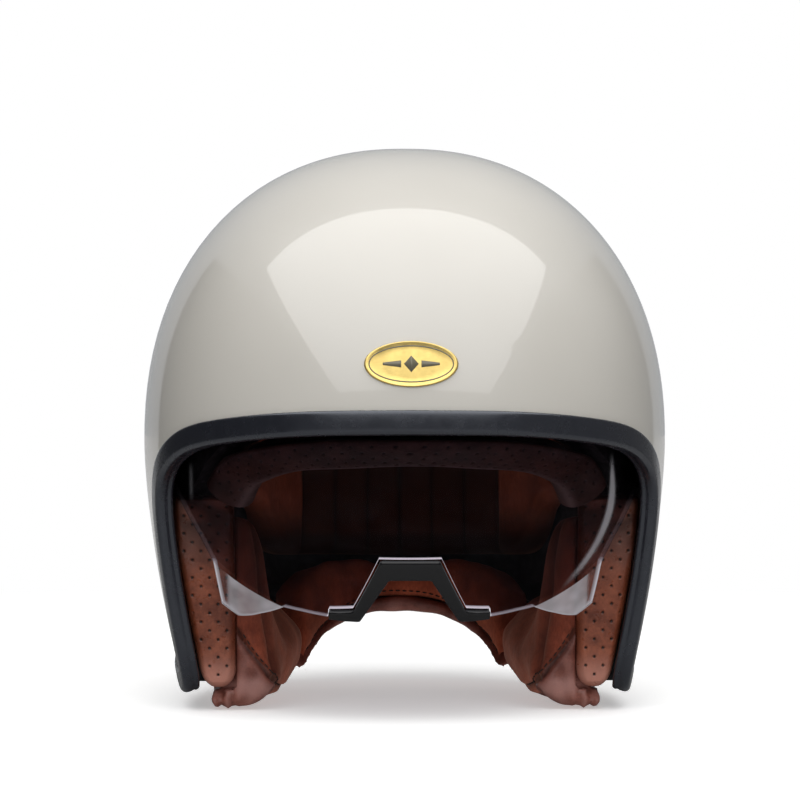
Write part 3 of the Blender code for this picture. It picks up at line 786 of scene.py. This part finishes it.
def build_brow_pad():
    """Padded leather band whose section is swept round the forehead."""
    corners = [(0, 131.6), (0, 125), (0.01, 119), (0.1, 115.2), (0.28, 113.8), (0.5, 115.2),
               (0.72, 118.8), (0.86, 122.6), (0.9, 125.6), (0.84, 126.6), (0.6, 126.8),
               (0.4, 127.2), (0.36, 131.6)]
    profile = spline([(share * BROW_DEPTH, z) for share, z in corners], 116)
    share, z = profile[:, 0] / BROW_DEPTH, profile[:, 1]
    phi = np.linspace(-64, 64, 471)
    sink = 9.5 * np.abs(phi / 56) ** 2.6 + 8 * (np.maximum(np.abs(phi) - 54, 0) / 12) ** 1.2
    grid = between_forms(HEAD, BROW_FRONT, phi[:, None] * np.ones_like(share), share
                         * np.ones((len(phi), 1)), z[None] - sink[:, None])
    run = along_path(profile)
    across, up = np.broadcast_arrays(np.radians(phi)[:, None] * BROW_RADIUS, run[None])
    mask = hole_mask(across, up)
    # Holes only on the outward faces, clear of the seam near the lower roll.
    low = run[np.argmin(np.abs(share - 0.28) + np.abs(z - 113.8))]
    shown = smooth_step(up, low + 1.0, low + 2.0) * (1 - smooth_step(up, low + 24, low + 25))
    shown = shown * (1 - smooth_step(np.abs(phi)[:, None], 61, 62))
    mask = mask * shown
    normal = unit(np.cross(np.gradient(grid, axis=0), np.gradient(grid, axis=1)))
    center = grid.mean(axis=1, keepdims=True)
    sign = np.sign(((grid - center) * normal).sum(-1).mean())
    crease = 0.35 * np.sin(across * 0.11 + 1.3) * np.sin(up * 0.2)
    grid = grid + normal * sign * (crease - 0.9 * mask)[..., None]
    item = add_mesh("brow_band", *tube(grid), BROWN, "brow_leather")
    # Painted highlight along the lower roll.
    mark_grid(item, grid, hole=mask, wear=bell(up, low + 0.5, 3.0))
    stand_in(item, "brow_pad")


def build_front_panel():
    """Perforated pillow just inside the trim on the wearer's left; mirrored for the right."""
    heights = np.linspace(PANEL_FOOT, PANEL_HEAD, 210)
    back = CHEEK_FRONT - 0.3
    middle = back - PANEL_DEPTH / 2
    edge_phi = math.degrees(math.acos((-middle / HALF_LENGTH) ** (PLAN_POWER / 2)))
    edge = inset_points(np.full_like(heights, edge_phi), level_of(heights),
                        np.full_like(heights, LOWER_INSET + 0.9))[:, 0]
    near = PANEL_NEAR + 0.8 * smooth_step(heights, 40, 95)
    # Rounded ends, rounder at the bottom.
    foot = np.clip((heights - PANEL_FOOT) / 9.0, 0, 1)
    head = np.clip((PANEL_HEAD - heights) / 6.0, 0, 1)
    pinch = 7.5 * (1 - np.sqrt(1 - (1 - foot) ** 2)) + 4 * (1 - np.sqrt(1 - (1 - head) ** 2))
    low_x, high_x = (near + pinch)[:, None], (edge - pinch * 0.8)[:, None]
    turn = np.linspace(0, 1, 56)
    z = heights[:, None] * np.ones_like(turn)
    x = low_x + (high_x - low_x) * turn
    puff = (PANEL_DEPTH - 0.5) * np.sqrt(np.minimum(foot * 3, 1) * np.minimum(head * 3, 1))
    margin = np.minimum(turn, 1 - turn) * (high_x - low_x)
    side = np.clip(margin / 3.6, 0, 1)
    bulge = puff[:, None] * (0.12 + 0.76 * np.sqrt(1 - (1 - side) ** 2)
                             + 0.12 * np.sin(math.pi * turn))
    inside = smooth_step(margin, 2.2, 3.2)
    mask = hole_mask(x - PANEL_NEAR - HOLE_PITCH / 2, z - 12.5) * inside * smooth_step(z, 13, 15)
    wrinkle = 0.5 * np.sin(z * 0.23 + x * 0.12) + 0.35 * np.sin(z * 0.47 - x * 0.3 + 1)
    wrinkle = wrinkle * smooth_step(z, 55, 85) * inside
    front = np.stack([x, back - bulge + 0.8 * mask - 0.6 * wrinkle, z], -1)
    rear = np.stack([x, np.full_like(x, back), z], -1)
    item = add_mesh("cheek_facing_left", *sheet(front, rear), TAN, "tan_leather")
    # Painted highlights on the wrinkle crests, along the bottom and near the outer edge up high.
    wear = np.clip(wrinkle, 0, 1) * 0.7 + bell(z, 15, 8) * 1.2
    wear += 0.8 * bell(z, 78, 8) * bell(x, 101, 5)
    # Painted shade over the upper part, less on the wrinkle crests.
    upper = 0.85 * smooth_step(z, 54, 92) * (1 - 0.6 * np.clip(wrinkle, 0, 1))
    mark_grid(item, front, hole=mask, wear=wear, shade=upper)
    twin = mirrored(item, "cheek_facing_right")
    for piece, mark in ((item, "left"), (twin, "right")):
        stand_in(piece, f"cheek_front_panel_{mark}")


# ---- soft pads

def swollen(item, voxel, pressure, cap, frames=20):
    """Inflates a closed cushion with a short cloth simulation, then rounds it off."""
    remesh = item.modifiers.new("remesh", "REMESH")
    remesh.mode = "VOXEL"
    remesh.voxel_size = voxel * MM
    apply_modifiers(item)
    start = points_of(item)
    cloth = item.modifiers.new("cloth", "CLOTH")
    cloth.settings.effector_weights.gravity = 0
    for key, value in (("use_pressure", True), ("uniform_pressure_force", pressure),
                       ("quality", 6), ("mass", 0.3), ("tension_stiffness", 12),
                       ("compression_stiffness", 12), ("bending_stiffness", 0.6)):
        setattr(cloth.settings, key, value)
    SCENE.frame_start, SCENE.frame_end = 1, frames
    for number in range(1, frames + 1):
        SCENE.frame_set(number)
    apply_modifiers(item)
    SCENE.frame_set(1)
    moved = points_of(item) - start
    size = np.linalg.norm(moved, axis=1, keepdims=True)
    moved *= np.minimum(1, cap / np.maximum(size, 1e-6))
    set_points(item, start + moved)
    smooth = item.modifiers.new("smooth", "CORRECTIVE_SMOOTH")
    smooth.iterations = 6
    smooth.use_only_smooth = True
    divide = item.modifiers.new("divide", "SUBSURF")
    divide.levels = 1
    divide.render_levels = 1
    apply_modifiers(item)
    item.data.shade_smooth()


def groove(item, path, width, depth, lift=0.0):
    """Presses a seam into the surface along a path, and returns the closeness to it."""
    spots, normals = points_of(item), normals_of(item)
    nearest = np.full(len(spots), 1e9)
    for start, end in zip(path[:-1], path[1:]):
        run = end - start
        share = np.clip(((spots - start) @ run) / max(run @ run, 1e-9), 0, 1)
        nearest = np.minimum(nearest, np.linalg.norm(spots - start - share[:, None] * run, axis=1))
    press = bell(nearest, 0, width)
    swell = bell(nearest, 2.6 * width, 1.6 * width)
    set_points(item, spots - normals * (depth * press - lift * swell)[:, None])
    return press


def on_surface(item, path, lift):
    """Drops a path onto a piece's surface."""
    graph = bpy.context.evaluated_depsgraph_get()
    tree = BVHTree.FromObject(item, graph)
    result, normals = [], []
    for point in path:
        spot, normal, _, _ = tree.find_nearest(Vector(point) * MM)
        result.append(np.array(spot) / MM + np.array(normal) * lift)
        normals.append(np.array(normal))
    return np.array(result), np.array(normals)


def stitches(name, item, path):
    """A row of short thread loops lying on a piece along a path."""
    pitch, length, radius = 3.4, 2.3, 0.36
    steps = np.linalg.norm(np.diff(path, axis=0), axis=1)
    spots, normals = on_surface(item, spline(path, max(int(steps.sum() / pitch), 2)), 0.12)
    points, faces = [], []
    for spot, following, normal in zip(spots[:-1], spots[1:], normals[:-1]):
        run = following - spot
        size = np.linalg.norm(run)
        if size < 0.5:
            continue
        run /= size
        side = unit(np.cross(run, normal))
        rings = []
        for share in (0, 0.15, 0.5, 0.85, 1):
            arch = math.sin(math.pi * share) ** 0.5 if 0 < share < 1 else 0.12
            center = spot + run * length * share + normal * (0.35 * arch - 0.15)
            thick = radius * (0.35 + 0.65 * arch)
            rings.append([center + thick * (side * math.cos(a) + normal * math.sin(a))
                          for a in full_turn(6)])
        loop, skin = tube(rings)
        faces.extend(tuple(len(points) + corner for corner in face) for face in skin)
        points.extend(loop)
    return add_mesh(name, points, faces, THREAD, "suede")


# Cheek pad stations: y, top, inner x at the top, middle, lower bulge and foot, flange, underside.
CHEEK_STATIONS = [
    (-50, 92, 70, 69.5, 64.5, 59.5, 95, 0), (-44, 93, 69, 69, 63.5, 58.5, 96, 0),
    (-42.5, 93, 69, 69, 64, 59, 96, 0), (-24, 92, 69, 67, 62, 58, 97, 0),
    (-14, 86, 69, 65.5, 60, 57, 97, 0), (-5, 58, 70, 63, 57.5, 55.5, 97, 0),
    (10, 54, 70, 60, 54, 53, 97, 0), (28, 52, 66, 55, 50, 50, 95, 5),
    (42, 48, 60, 50, 47, 48, 88, 10), (49, 44, 58, 50, 47.5, 48, 82, 12),
]


def cheek_section(station, shrink):
    y, top, top_x, mid_x, low_x, foot_x, flange, under = station
    outer = CHEEK_OUTER if y > CHEEK_FRONT else PANEL_NEAR - 0.5
    outer = min(outer, flange - 3)
    slant = 0.5 * float(smooth_step(y, 28, 49))
    ring = [(outer, top - 3 - shrink), (outer - 4, top - shrink), (top_x + 4, top - shrink),
            (top_x + shrink, top - 5 - shrink), (mid_x + shrink, top * 0.58),
            (low_x + shrink, 24), (foot_x + shrink, 12), (foot_x + 3 + 0.7 * shrink, 5.5),
            (foot_x + 12, 0.5 * shrink), (flange - 3, 0.5 * shrink), (flange - shrink, 2.2),
            (flange - 1.5 - shrink, 5.2), (outer, 8.2)]
    rise = (top - under) / top
    return np.array([(x, y + slant * max(x - 52, 0), under + rise * z) for x, z in ring])


# Where suede meets leather: across the front of the pad, then back along its inner side.
FRONT_SEAM = [(80, -50.5, 37), (74, -50.5, 29.5), (68, -50, 22.5), (63, -49, 17.5),
              (59.5, -46, 15)]
SIDE_SEAM = [(58, -34, 11), (57, -16, 5), (55, 8, 2), (52, 26, 7), (49, 42, 11.5), (49, 52, 13.5)]


def build_cheek_pad():
    shrink = 1.6
    controls = np.array([cheek_section(station, shrink) for station in CHEEK_STATIONS])
    rows = np.stack([spline(controls[:, k], 44) for k in range(controls.shape[1])], 1)
    item = add_mesh("cheek_cushion_left", *tube(rows), CHEEK, "suede")
    swollen(item, 3.4, 4.0, 3.6, 16)
    seam = np.array(FRONT_SEAM + SIDE_SEAM, float)
    path, _ = on_surface(item, spline(seam, 70), 0)
    press = groove(item, path, 1.2, 1.9, 0.7)
    # The front edge is a firm roll, with the face set back behind it.
    roll = [(69, -33, 90), (68.5, -33, 70), (68, -33, 50), (66.5, -34, 38), (64, -36, 28),
            (61, -38, 19)]
    path_behind, _ = on_surface(item, spline(np.array(roll, float), 40), 0)
    hollow = groove(item, path_behind, 5.5, 4.2, 0.0)
    spots, normals = points_of(item), normals_of(item)
    x, y, z = spots.T
    front_x, _, front_z = np.array(FRONT_SEAM).T
    _, side_y, side_z = np.array(SIDE_SEAM).T
    across_rise = np.interp(-x, -front_x, front_z)
    along_rise = np.interp(y, side_y, side_z)
    share = smooth_step(y, -46, -40)
    above = z - (across_rise * (1 - share) + along_rise * share)
    mark_points(item, "seam", above)
    # Painted shade over the upper part and in the hollow behind the front roll.
    upper = 0.55 * smooth_step(z, 40, 88)
    mark_points(item, "shade", np.clip(upper + 0.5 * hollow, 0, 0.8))
    low = smooth_step(-above, 1.5, 12)
    creases = 0.6 * np.sin(x * 0.62 + z * 0.25) + 0.5 * np.sin(y * 0.34 + z * 0.5)
    # The skirt below the panel is gathered into tight folds.
    skirt = smooth_step(x, 77, 81) * (1 - smooth_step(z, 8, 12))
    folds = np.sin(x * 1.15 + 0.5 * np.sin(z))
    nap = 0.35 * np.sin(y * 0.21 + 1) * np.sin(z * 0.17 + x * 0.1)
    move = 0.3 * creases * low + 0.9 * folds * skirt + nap * (1 - low)
    x, y, z = (spots + normals * move[:, None]).T
    z = np.maximum(z, 0.05)
    y = np.maximum(y, -50.6)
    limit = np.where(y < CHEEK_FRONT - 0.1, PANEL_NEAR - 0.4, CHEEK_OUTER)
    x = np.minimum(x, np.where(z > 9.5, limit, 97.0))
    set_points(item, np.stack([x, y, z], -1))
    mark_points(item, "hole", np.clip(0.75 * press, 0, 1))
    # A painted sheen lies along the bulge of the lower roll, with painted highlights on the creases and
    # the skirt's folds.
    shine = bell(z, 10, 6.5) * low * (1 - skirt)
    mark_points(item, "wear", np.clip(0.4 * creases * low + 0.6 * folds * skirt + shine, 0, 1))
    twin = mirrored(item, "cheek_cushion_right")
    rows = stitches("cheek_stitches_left", item, (path + np.array([0.0, -0.3, 2.4]))[3:-4])
    rows_twin = mirrored(rows, "cheek_stitches_right")
    for piece, thread, mark in ((item, rows, "left"), (twin, rows_twin, "right")):
        stand_in(piece, f"cheek_pad_{mark}")
        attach(thread, "helmet")


def neck_points(phi, share, z):
    turn = np.abs(180 - phi)
    inner_sink = 22 * (turn / 45) ** 2
    outer_sink = 13 * (turn / 45) ** 1.5
    z = z - inner_sink - (outer_sink - inner_sink) * share
    low = form_points(NECK, phi, level_of(z))
    high = inset_points(phi, level_of(z), np.full(np.shape(z), LOWER_INSET))
    spot = low + (high - low) * share[..., None]
    spot[..., 2] = z
    return spot


NECK_DEPTH = 33


def neck_piece(name, corners, shaped, material, slot, voxel, cap, ripple_size):
    """A roll swept round the nape; shaped changes the heights of its section on the way."""
    profile = spline([(share * NECK_DEPTH, z) for share, z in corners], 40, closed=True)
    phi = np.linspace(125, 235, 100)[:, None]
    heights = shaped(profile[:, 1], np.abs(phi - 180))
    phi, share, z = np.broadcast_arrays(phi, profile[:, 0] / NECK_DEPTH, heights)
    item = add_mesh(name, *tube(neck_points(phi, share, z)), material, slot)
    swollen(item, voxel, 3.0, cap, 12)
    spots, normals = points_of(item), normals_of(item)
    ripple = (0.45 * np.sin(spots[:, 0] * 0.38) * np.cos(spots[:, 2] * 0.25)
              + 0.3 * np.sin(spots[:, 0] * 0.21 + 1.1))
    set_points(item, spots + normals * ripple[:, None] * ripple_size)
    # Painted highlights on the ripple crests.
    mark_points(item, "wear", np.clip(ripple, 0, 1) * 0.5)
    return item


def build_neck_band():
    def shaped(z, turned):
        # The top keeps level on its way to the cheek pads.
        rise = 9 * smooth_step(turned, 5, 30) + 9 * smooth_step(turned, 26, 46)
        return z + rise * smooth_step(z, 46, 56)

    corners = [(0.05, 44.6), (0.02, 49), (0.02, 54), (0.05, 61), (0.1, 63.5), (0.16, 62),
               (0.21, 58.5), (0.39, 57), (0.39, 44.6)]
    item = neck_piece("neck_band", corners, shaped, SUEDE, "suede", 3.0, 2.0, 0.8)
    stand_in(item, "neck_roll")
    seam = neck_points(np.linspace(128, 232, 50), np.full(50, 0.03), np.full(50, 46.6))
    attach(stitches("neck_stitches", item, seam), "helmet")


def build_neck_leather():
    def shaped(z, turned):
        # The binding thins out towards both ends.
        return top - (top - z) * (1 - 0.45 * smooth_step(turned, 20, 48))

    top = 43.6
    corners = [(0.06, 43.2), (0.02, 40.5), (0.07, 37.8), (0.3, 36.8), (0.8, 39), (0.9, 41.2),
               (0.88, 44), (0.46, 44), (0.43, 43.2)]
    item = neck_piece("neck_leather", corners, shaped, ROSE, "tan_leather", 1.6, 1.2, 0.5)
    stand_in(item, "neck_welt")


# ---- visor

# The sheet's lower and upper edges: places across, and angles below the pivot.
LENS_FOOT = [(13.9, 22.7), (19.2, 28.1), (25.3, 34.4), (36.1, 35.4), (36.5, 37.5), (48.9, 37.7),
             (56.4, 38.1), (66.5, 42.9), (76.8, 48.8), (84.5, 49.7), (88.6, 36.5), (95, 31.5),
             (101.2, 28.2), (105, 26), (108, 26), (110.5, 27), (111.7, 30), (112.55, 44)]
LENS_HEAD = [(95, -13), (101.2, -14), (105, -16), (108, -19), (110.5, -24), (111.7, -29),
             (112.55, -44)]
CREASE = [(56.4, 38.1), (88.6, 36.5)]
WING_BEND = math.radians(2)

# The painted glint's angle below the pivot, its distance across and its half width.
GLINT = [(0, 91.6, 0.7), (8, 92.4, 1.0), (16, 92.5, 1.7), (22, 90.8, 2.2), (27, 87.0, 2.4),
         (31, 81.5, 2.6), (34, 75.5, 2.8), (37, 68.0, 2.4)]


def lens_radius(x):
    share = np.minimum(np.abs(x) / VISOR_HALF, 1)
    return VISOR_RADIUS * (1 - share**PLAN_POWER) ** (1 / PLAN_POWER)


def lens_points(x, down, lift):
    """Points on the visor's surface, turned down by an angle, lifted off it by a height."""
    x, down, lift = np.broadcast_arrays(*(np.asarray(v, float) for v in (x, down, lift)))
    step = 0.05
    wide = np.abs(x)
    slope = (lens_radius(wide + step) - lens_radius(np.maximum(wide - step, 0))) / (2 * step)
    size = np.hypot(1, slope)
    radius = lens_radius(x) + lift / size
    across = x - np.sign(x) * lift * slope / size
    angle = np.radians(down)
    return np.stack([across, PIVOT_Y - radius * np.cos(angle),
                     PIVOT_Z - radius * np.sin(angle)], -1)


def build_lens():
    foot, head = np.array(LENS_FOOT), np.array(LENS_HEAD)
    # Columns stand closer together towards the arms, and one stands at each corner.
    x = foot[-1, 0] * np.sin(np.linspace(0, 1, 190) * math.pi / 2) ** 0.9
    x = np.unique(np.concatenate([x, foot[:, 0]]))
    x = np.concatenate([-x[:0:-1], x])
    low = np.interp(np.abs(x), *foot.T)
    high = np.interp(np.abs(x), *head.T)
    share = np.linspace(0, 1, 60)
    down = low[:, None] + (high - low)[:, None] * share
    across = np.broadcast_to(x[:, None], down.shape)
    crease = np.interp(np.abs(across), *np.array(CREASE).T)
    wing = np.where((np.abs(across) > CREASE[0][0]) & (np.abs(across) < CREASE[1][0]), down - crease, 0)
    bend = np.radians(np.clip(wing, 0, None)) * lens_radius(across) * math.tan(WING_BEND)
    outer = lens_points(across, down, bend)
    inner = lens_points(across, down, bend - LENS_WALL)
    item = add_mesh("visor_sheet", *sheet(outer, inner), LENS, "smoked_lens")
    item.data.materials.append(LENS_EDGE)
    fold = down - crease
    # Painted glare on the wing, and painted highlights on the cut edges low down and round the nose
    # tab.
    glare = 0.06 + 0.94 * smooth_step(-np.abs(across), -83, -80.5)
    painted_edge_glint = smooth_step(-outer[..., 2], -73, -70)
    painted_edge_glint = np.maximum(painted_edge_glint, 2.4 * smooth_step(-np.abs(across), -38, -36))
    # A curved painted glint runs down the wearer's left side of the sheet, and a faint one down the
    # right.
    curve = spline(GLINT, 60)
    line = np.interp(down, curve[:, 0], curve[:, 1])
    width = np.interp(down, curve[:, 0], curve[:, 2])
    glint = np.exp(-((across - line) / width) ** 4) * smooth_step(down, 2, 10)
    glint = 0.4 * glint * (1 - smooth_step(down, 31, 37))
    faint = 0.10 * bell(across, -98.8, 0.8) * smooth_step(down, 6, 10)
    glint = glint + faint * (1 - smooth_step(down, 16, 22))
    # The outer face carries the marks, and the inner one its share of them.
    both = np.concatenate([outer, inner])
    marks = {"fold": (fold, 1), "glare": (glare, 0), "glint": (glint, 0), "painted_edge_glint": (painted_edge_glint, 0.15)}
    mark_grid(item, both, **{name: np.concatenate([values, inner_share * values])
                             for name, (values, inner_share) in marks.items()})
    # Cut edges take the edge material with its painted highlight: they join the outer face to the inner
    # one.
    inside = sources(item, both) >= fold.size
    edge = [len({bool(inside[v]) for v in polygon.vertices}) > 1
            for polygon in item.data.polygons]
    item.data.polygons.foreach_set("material_index", np.array(edge, int))
    item.data.polygons.foreach_set("use_smooth", ~np.array(edge))
    stand_in(item, "visor_lens", "visor")


def build_tab():
    """Black frame round the nose cut-out, with chamfered edges."""
    half = [((36, 36.0), (35.6, 37.9)), ((30.5, 35.5), (29, 37.8)), ((25.9, 35.1), (23.1, 37.6)),
            ((24.9, 34.9), (22.0, 37.5)), ((24.2, 34.2), (21.3, 36.9)), ((14.1, 24.1), (10.5, 28.2)),
            ((13.4, 23.3), (9.7, 27.5)), ((12.5, 23.1), (8.7, 27.3))]
    edges = [[(-x, a) for x, a in pair] for pair in half] + half[::-1]
    sections = []
    chamfer = 0.14
    for upper, lower in edges:
        upper, lower = np.array(upper), np.array(lower)
        ring = []
        for share, lift in ((chamfer, 1.5), (1 - chamfer, 1.5), (1, 0.7), (1, -2.2),
                            (1 - chamfer, -2.9), (chamfer, -2.9), (0, -2.2), (0, 0.7)):
            spot = upper + (lower - upper) * share
            ring.append(lens_points(spot[0], spot[1], lift))
        sections.append(ring)
    item = add_mesh("nose_frame", *tube(np.array(sections)), GLOSS_BLACK, "black_gloss",
                    smooth=False)
    bevel = item.modifiers.new("bevel", "BEVEL")
    bevel.width = 0.35 * MM
    bevel.segments = 3
    bevel.limit_method = "ANGLE"
    bevel.angle_limit = math.radians(25)
    apply_modifiers(item)
    item.data.shade_smooth()
    item.data.set_sharp_from_angle(angle=math.radians(40))
    stand_in(item, "nose_tab", "visor")


# ---- straps

STRAP_Y = 16.0
PLATE_MID = 102.4
BAR_Z = 55.5
RING_X = 92.0
RING_Z = 57.0
LOOP_RADIUS = 4.9


def arc(center, radius, start, end, count):
    angle = np.radians(np.linspace(start, end, count + 1))
    return [(center[0] + radius * math.cos(a), center[1] + radius * math.sin(a)) for a in angle]


def build_strap(side, mark):
    path = [(PLATE_MID - 3.6, 66)] + arc((PLATE_MID, BAR_Z), 3.6, 180, 360, 8)
    path += [(PLATE_MID + 3.6, 68)] + arc((PLATE_MID - 2.8, 78), 6.4, 0, 180, 8)
    if side > 0:
        path += [(RING_X - LOOP_RADIUS, 68)]
        path += arc((RING_X, RING_Z), LOOP_RADIUS, 180, 360, 10)
        path += [(RING_X + LOOP_RADIUS - 1, 66)]
    else:
        path += [(91.4, 60)]
    line = spline(path, 130)
    run = unit(np.gradient(line, axis=0))
    normal = np.stack([-run[:, 1], run[:, 0]], -1)
    # Section of the webbing: thin, with rounded, slightly thicker selvedges.
    half, thick = 10.0, 0.65
    turn = full_turn(32)
    across = half * power(np.cos(turn), 0.35)
    height = thick * power(np.sin(turn), 0.5) * (1 + 0.12 * (np.abs(across) > 8.2))
    sections = np.zeros((len(line), len(turn), 3))
    sections[..., 0] = side * (line[:, None, 0] + normal[:, None, 0] * height[None])
    sections[..., 1] = STRAP_Y + across[None]
    sections[..., 2] = line[:, None, 1] + normal[:, None, 1] * height[None]
    item = add_mesh(f"strap_webbing_{mark}", *tube(sections), WEBBING, "webbing")
    stand_in(item, f"chin_strap_{mark}", f"strap_{mark}")


# ---- kept solids

def coat_kept():
    kept = {"impact_liner": FOAM, "visor_slot_guide": MATT_BLACK, "d_ring_inner": STEEL,
            "d_ring_outer": STEEL, "strap_snap": STEEL}
    pairs = {"cheek_block": FOAM, "cheek_plate": MATT_BLACK, "visor_base": MATT_BLACK,
             "visor_hub": GLOSS_BLACK, "visor_washer": STEEL, "strap_hanger": STEEL,
             "strap_rivet": STEEL}
    for name, material in pairs.items():
        kept[f"{name}_left"] = kept[f"{name}_right"] = material
    for name, material in kept.items():
        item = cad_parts[name]
        item.data.materials.clear()
        item.data.materials.append(material)


# ---- stage, light, camera

FLOOR_GREY = (0.92, 0.92, 0.92)
FLOOR_HALF = 12.0


def stage_piece(name, corners, surface, visible=True):
    """A flat polygon of the studio; surface builds its shader and returns the output."""
    data = bpy.data.meshes.new(name)
    data.from_pydata(corners, [], [tuple(range(len(corners)))])
    item = bpy.data.objects.new(name, data)
    SCENE.collection.objects.link(item)
    shade = Shade(name, FLOOR_GREY, 0.9)
    shade.fill(shade.output, Surface=surface(shade))
    data.materials.append(shade.material)
    item.visible_camera = visible
    return item


def floor_surface(shade):
    """White to the eye away from the object, dim in reflections, bright where it throws light."""
    shade.set(**{"Specular IOR Level": 0.0, "Emission Color": (1, 1, 1), "Emission Strength": 0.38})
    reach = shade.add("VectorMath", shade.place(), operation="LENGTH").outputs["Value"]
    fade = shade.remap(reach, 0.3, 0.9, 0, 1)
    seen = shade.blend(fade, shade.shader.outputs[0], shade.shine(1.0))
    dim = shade.add("BsdfDiffuse", (0.32, 0.32, 0.32)).outputs[0]
    glow = shade.shine(shade.remap(shade.depth(), 0.2, 1.4, 0.0, 0.4))
    mirrored_floor = shade.add("AddShader", dim, glow).outputs[0]
    throw = shade.shine(shade.remap(reach, 0.9, 1.3, 0.5, 0.0))
    hidden = shade.blend(shade.ray("Glossy"), throw, mirrored_floor)
    return shade.blend(shade.ray("Camera"), hidden, seen)


def build_floor():
    drop = -0.0004
    square = [(-1, -1), (1, -1), (1, 1), (-1, 1)]
    corners = [(x * FLOOR_HALF, y * FLOOR_HALF, 0) for x, y in square]
    floor = stage_piece("studio_floor", corners, floor_surface)
    floor.location.z = drop


def build_world():
    """Reflections see a dark studio behind the camera and the white backdrop at the rear."""
    world = bpy.data.worlds.new("studio")
    SCENE.world = world
    world.use_nodes = True
    nodes = Nodes(world.node_tree)
    ground = nodes.add("Background", (1, 1, 1), 0.37).outputs[0]
    seen = nodes.add("Background", (1, 1, 1), 1.0).outputs[0]
    glow = nodes.remap(nodes.depth("Generated"), -0.5, 0.8, 0.08, 0.42)
    mirror = nodes.add("Background", (0.93, 0.96, 1), glow).outputs[0]
    around = nodes.blend(nodes.ray("Glossy"), ground, mirror)
    nodes.fill(nodes.tree.nodes["World Output"],
               Surface=nodes.blend(nodes.ray("Camera"), around, seen))


def build_light():
    # Large canopy over and in front: its reflection is the pale window on the brow. It is
    # brightest over the crown and falls off towards the camera.
    front, rear, height, slope = -2.73, 0.08, 0.80, 0.162
    back = [(1.04, 0.02), (0.81, 0.04), (0.58, 0.05), (0.28, 0.06)]
    edge = [(-1.15, front), (1.45, front)] + back + [(0, rear)] + [(-x, y) for x, y in back[::-1]]
    stage_piece("canopy", [(x, y, height + slope * (y - front)) for x, y in edge],
                lambda shade: shade.shine(shade.remap(shade.depth(), front, rear, 1.35, 2.65)),
                False)
    # Bounce card behind the helmet, kept out of its reflections.
    card = stage_piece("rear_card", [(-1.3, 1.5, 0.1), (1.3, 1.5, 0.1), (1.1, 1.9, 1.4),
                                     (-1.1, 1.9, 1.4)], lambda shade: shade.shine(1.2), False)
    card.visible_glossy = False
    # Dark flags at both sides.
    for side, strength in ((-1, 0.03), (1, 0.14)):
        corners = [(side * 0.62, y, z) for y, z in ((-0.75, 0.02), (0.62, 0.02), (0.62, 0.62),
                                                    (-0.75, 0.62))]
        stage_piece(f"flag_{side + 1}", corners, lambda shade: shade.shine(strength), False)


def build_camera():
    data = bpy.data.cameras.new("camera")
    camera = bpy.data.objects.new("camera", data)
    SCENE.collection.objects.link(camera)
    distance, yaw, height = 1.5, math.radians(-1.3), 0.144
    width_seen, sensor = 0.3845, 36
    data.sensor_width = sensor
    data.lens = sensor * distance / width_seen
    camera.location = (distance * math.sin(yaw), -distance * math.cos(yaw), height)
    camera.rotation_euler = (math.pi / 2, 0, yaw)
    data.shift_x = -4 / 800
    SCENE.camera = camera


build_shell()
build_trim()
build_badge()
build_crown_liner()
build_brow_pad()
build_front_panel()
build_cheek_pad()
build_neck_band()
build_neck_leather()
build_lens()
build_tab()
for SIDE, MARK in ((1, "left"), (-1, "right")):
    build_strap(SIDE, MARK)
coat_kept()
build_floor()
build_world()
build_light()
build_camera()

SCENE.view_settings.view_transform = "Standard"
SCENE.view_settings.look = "None"
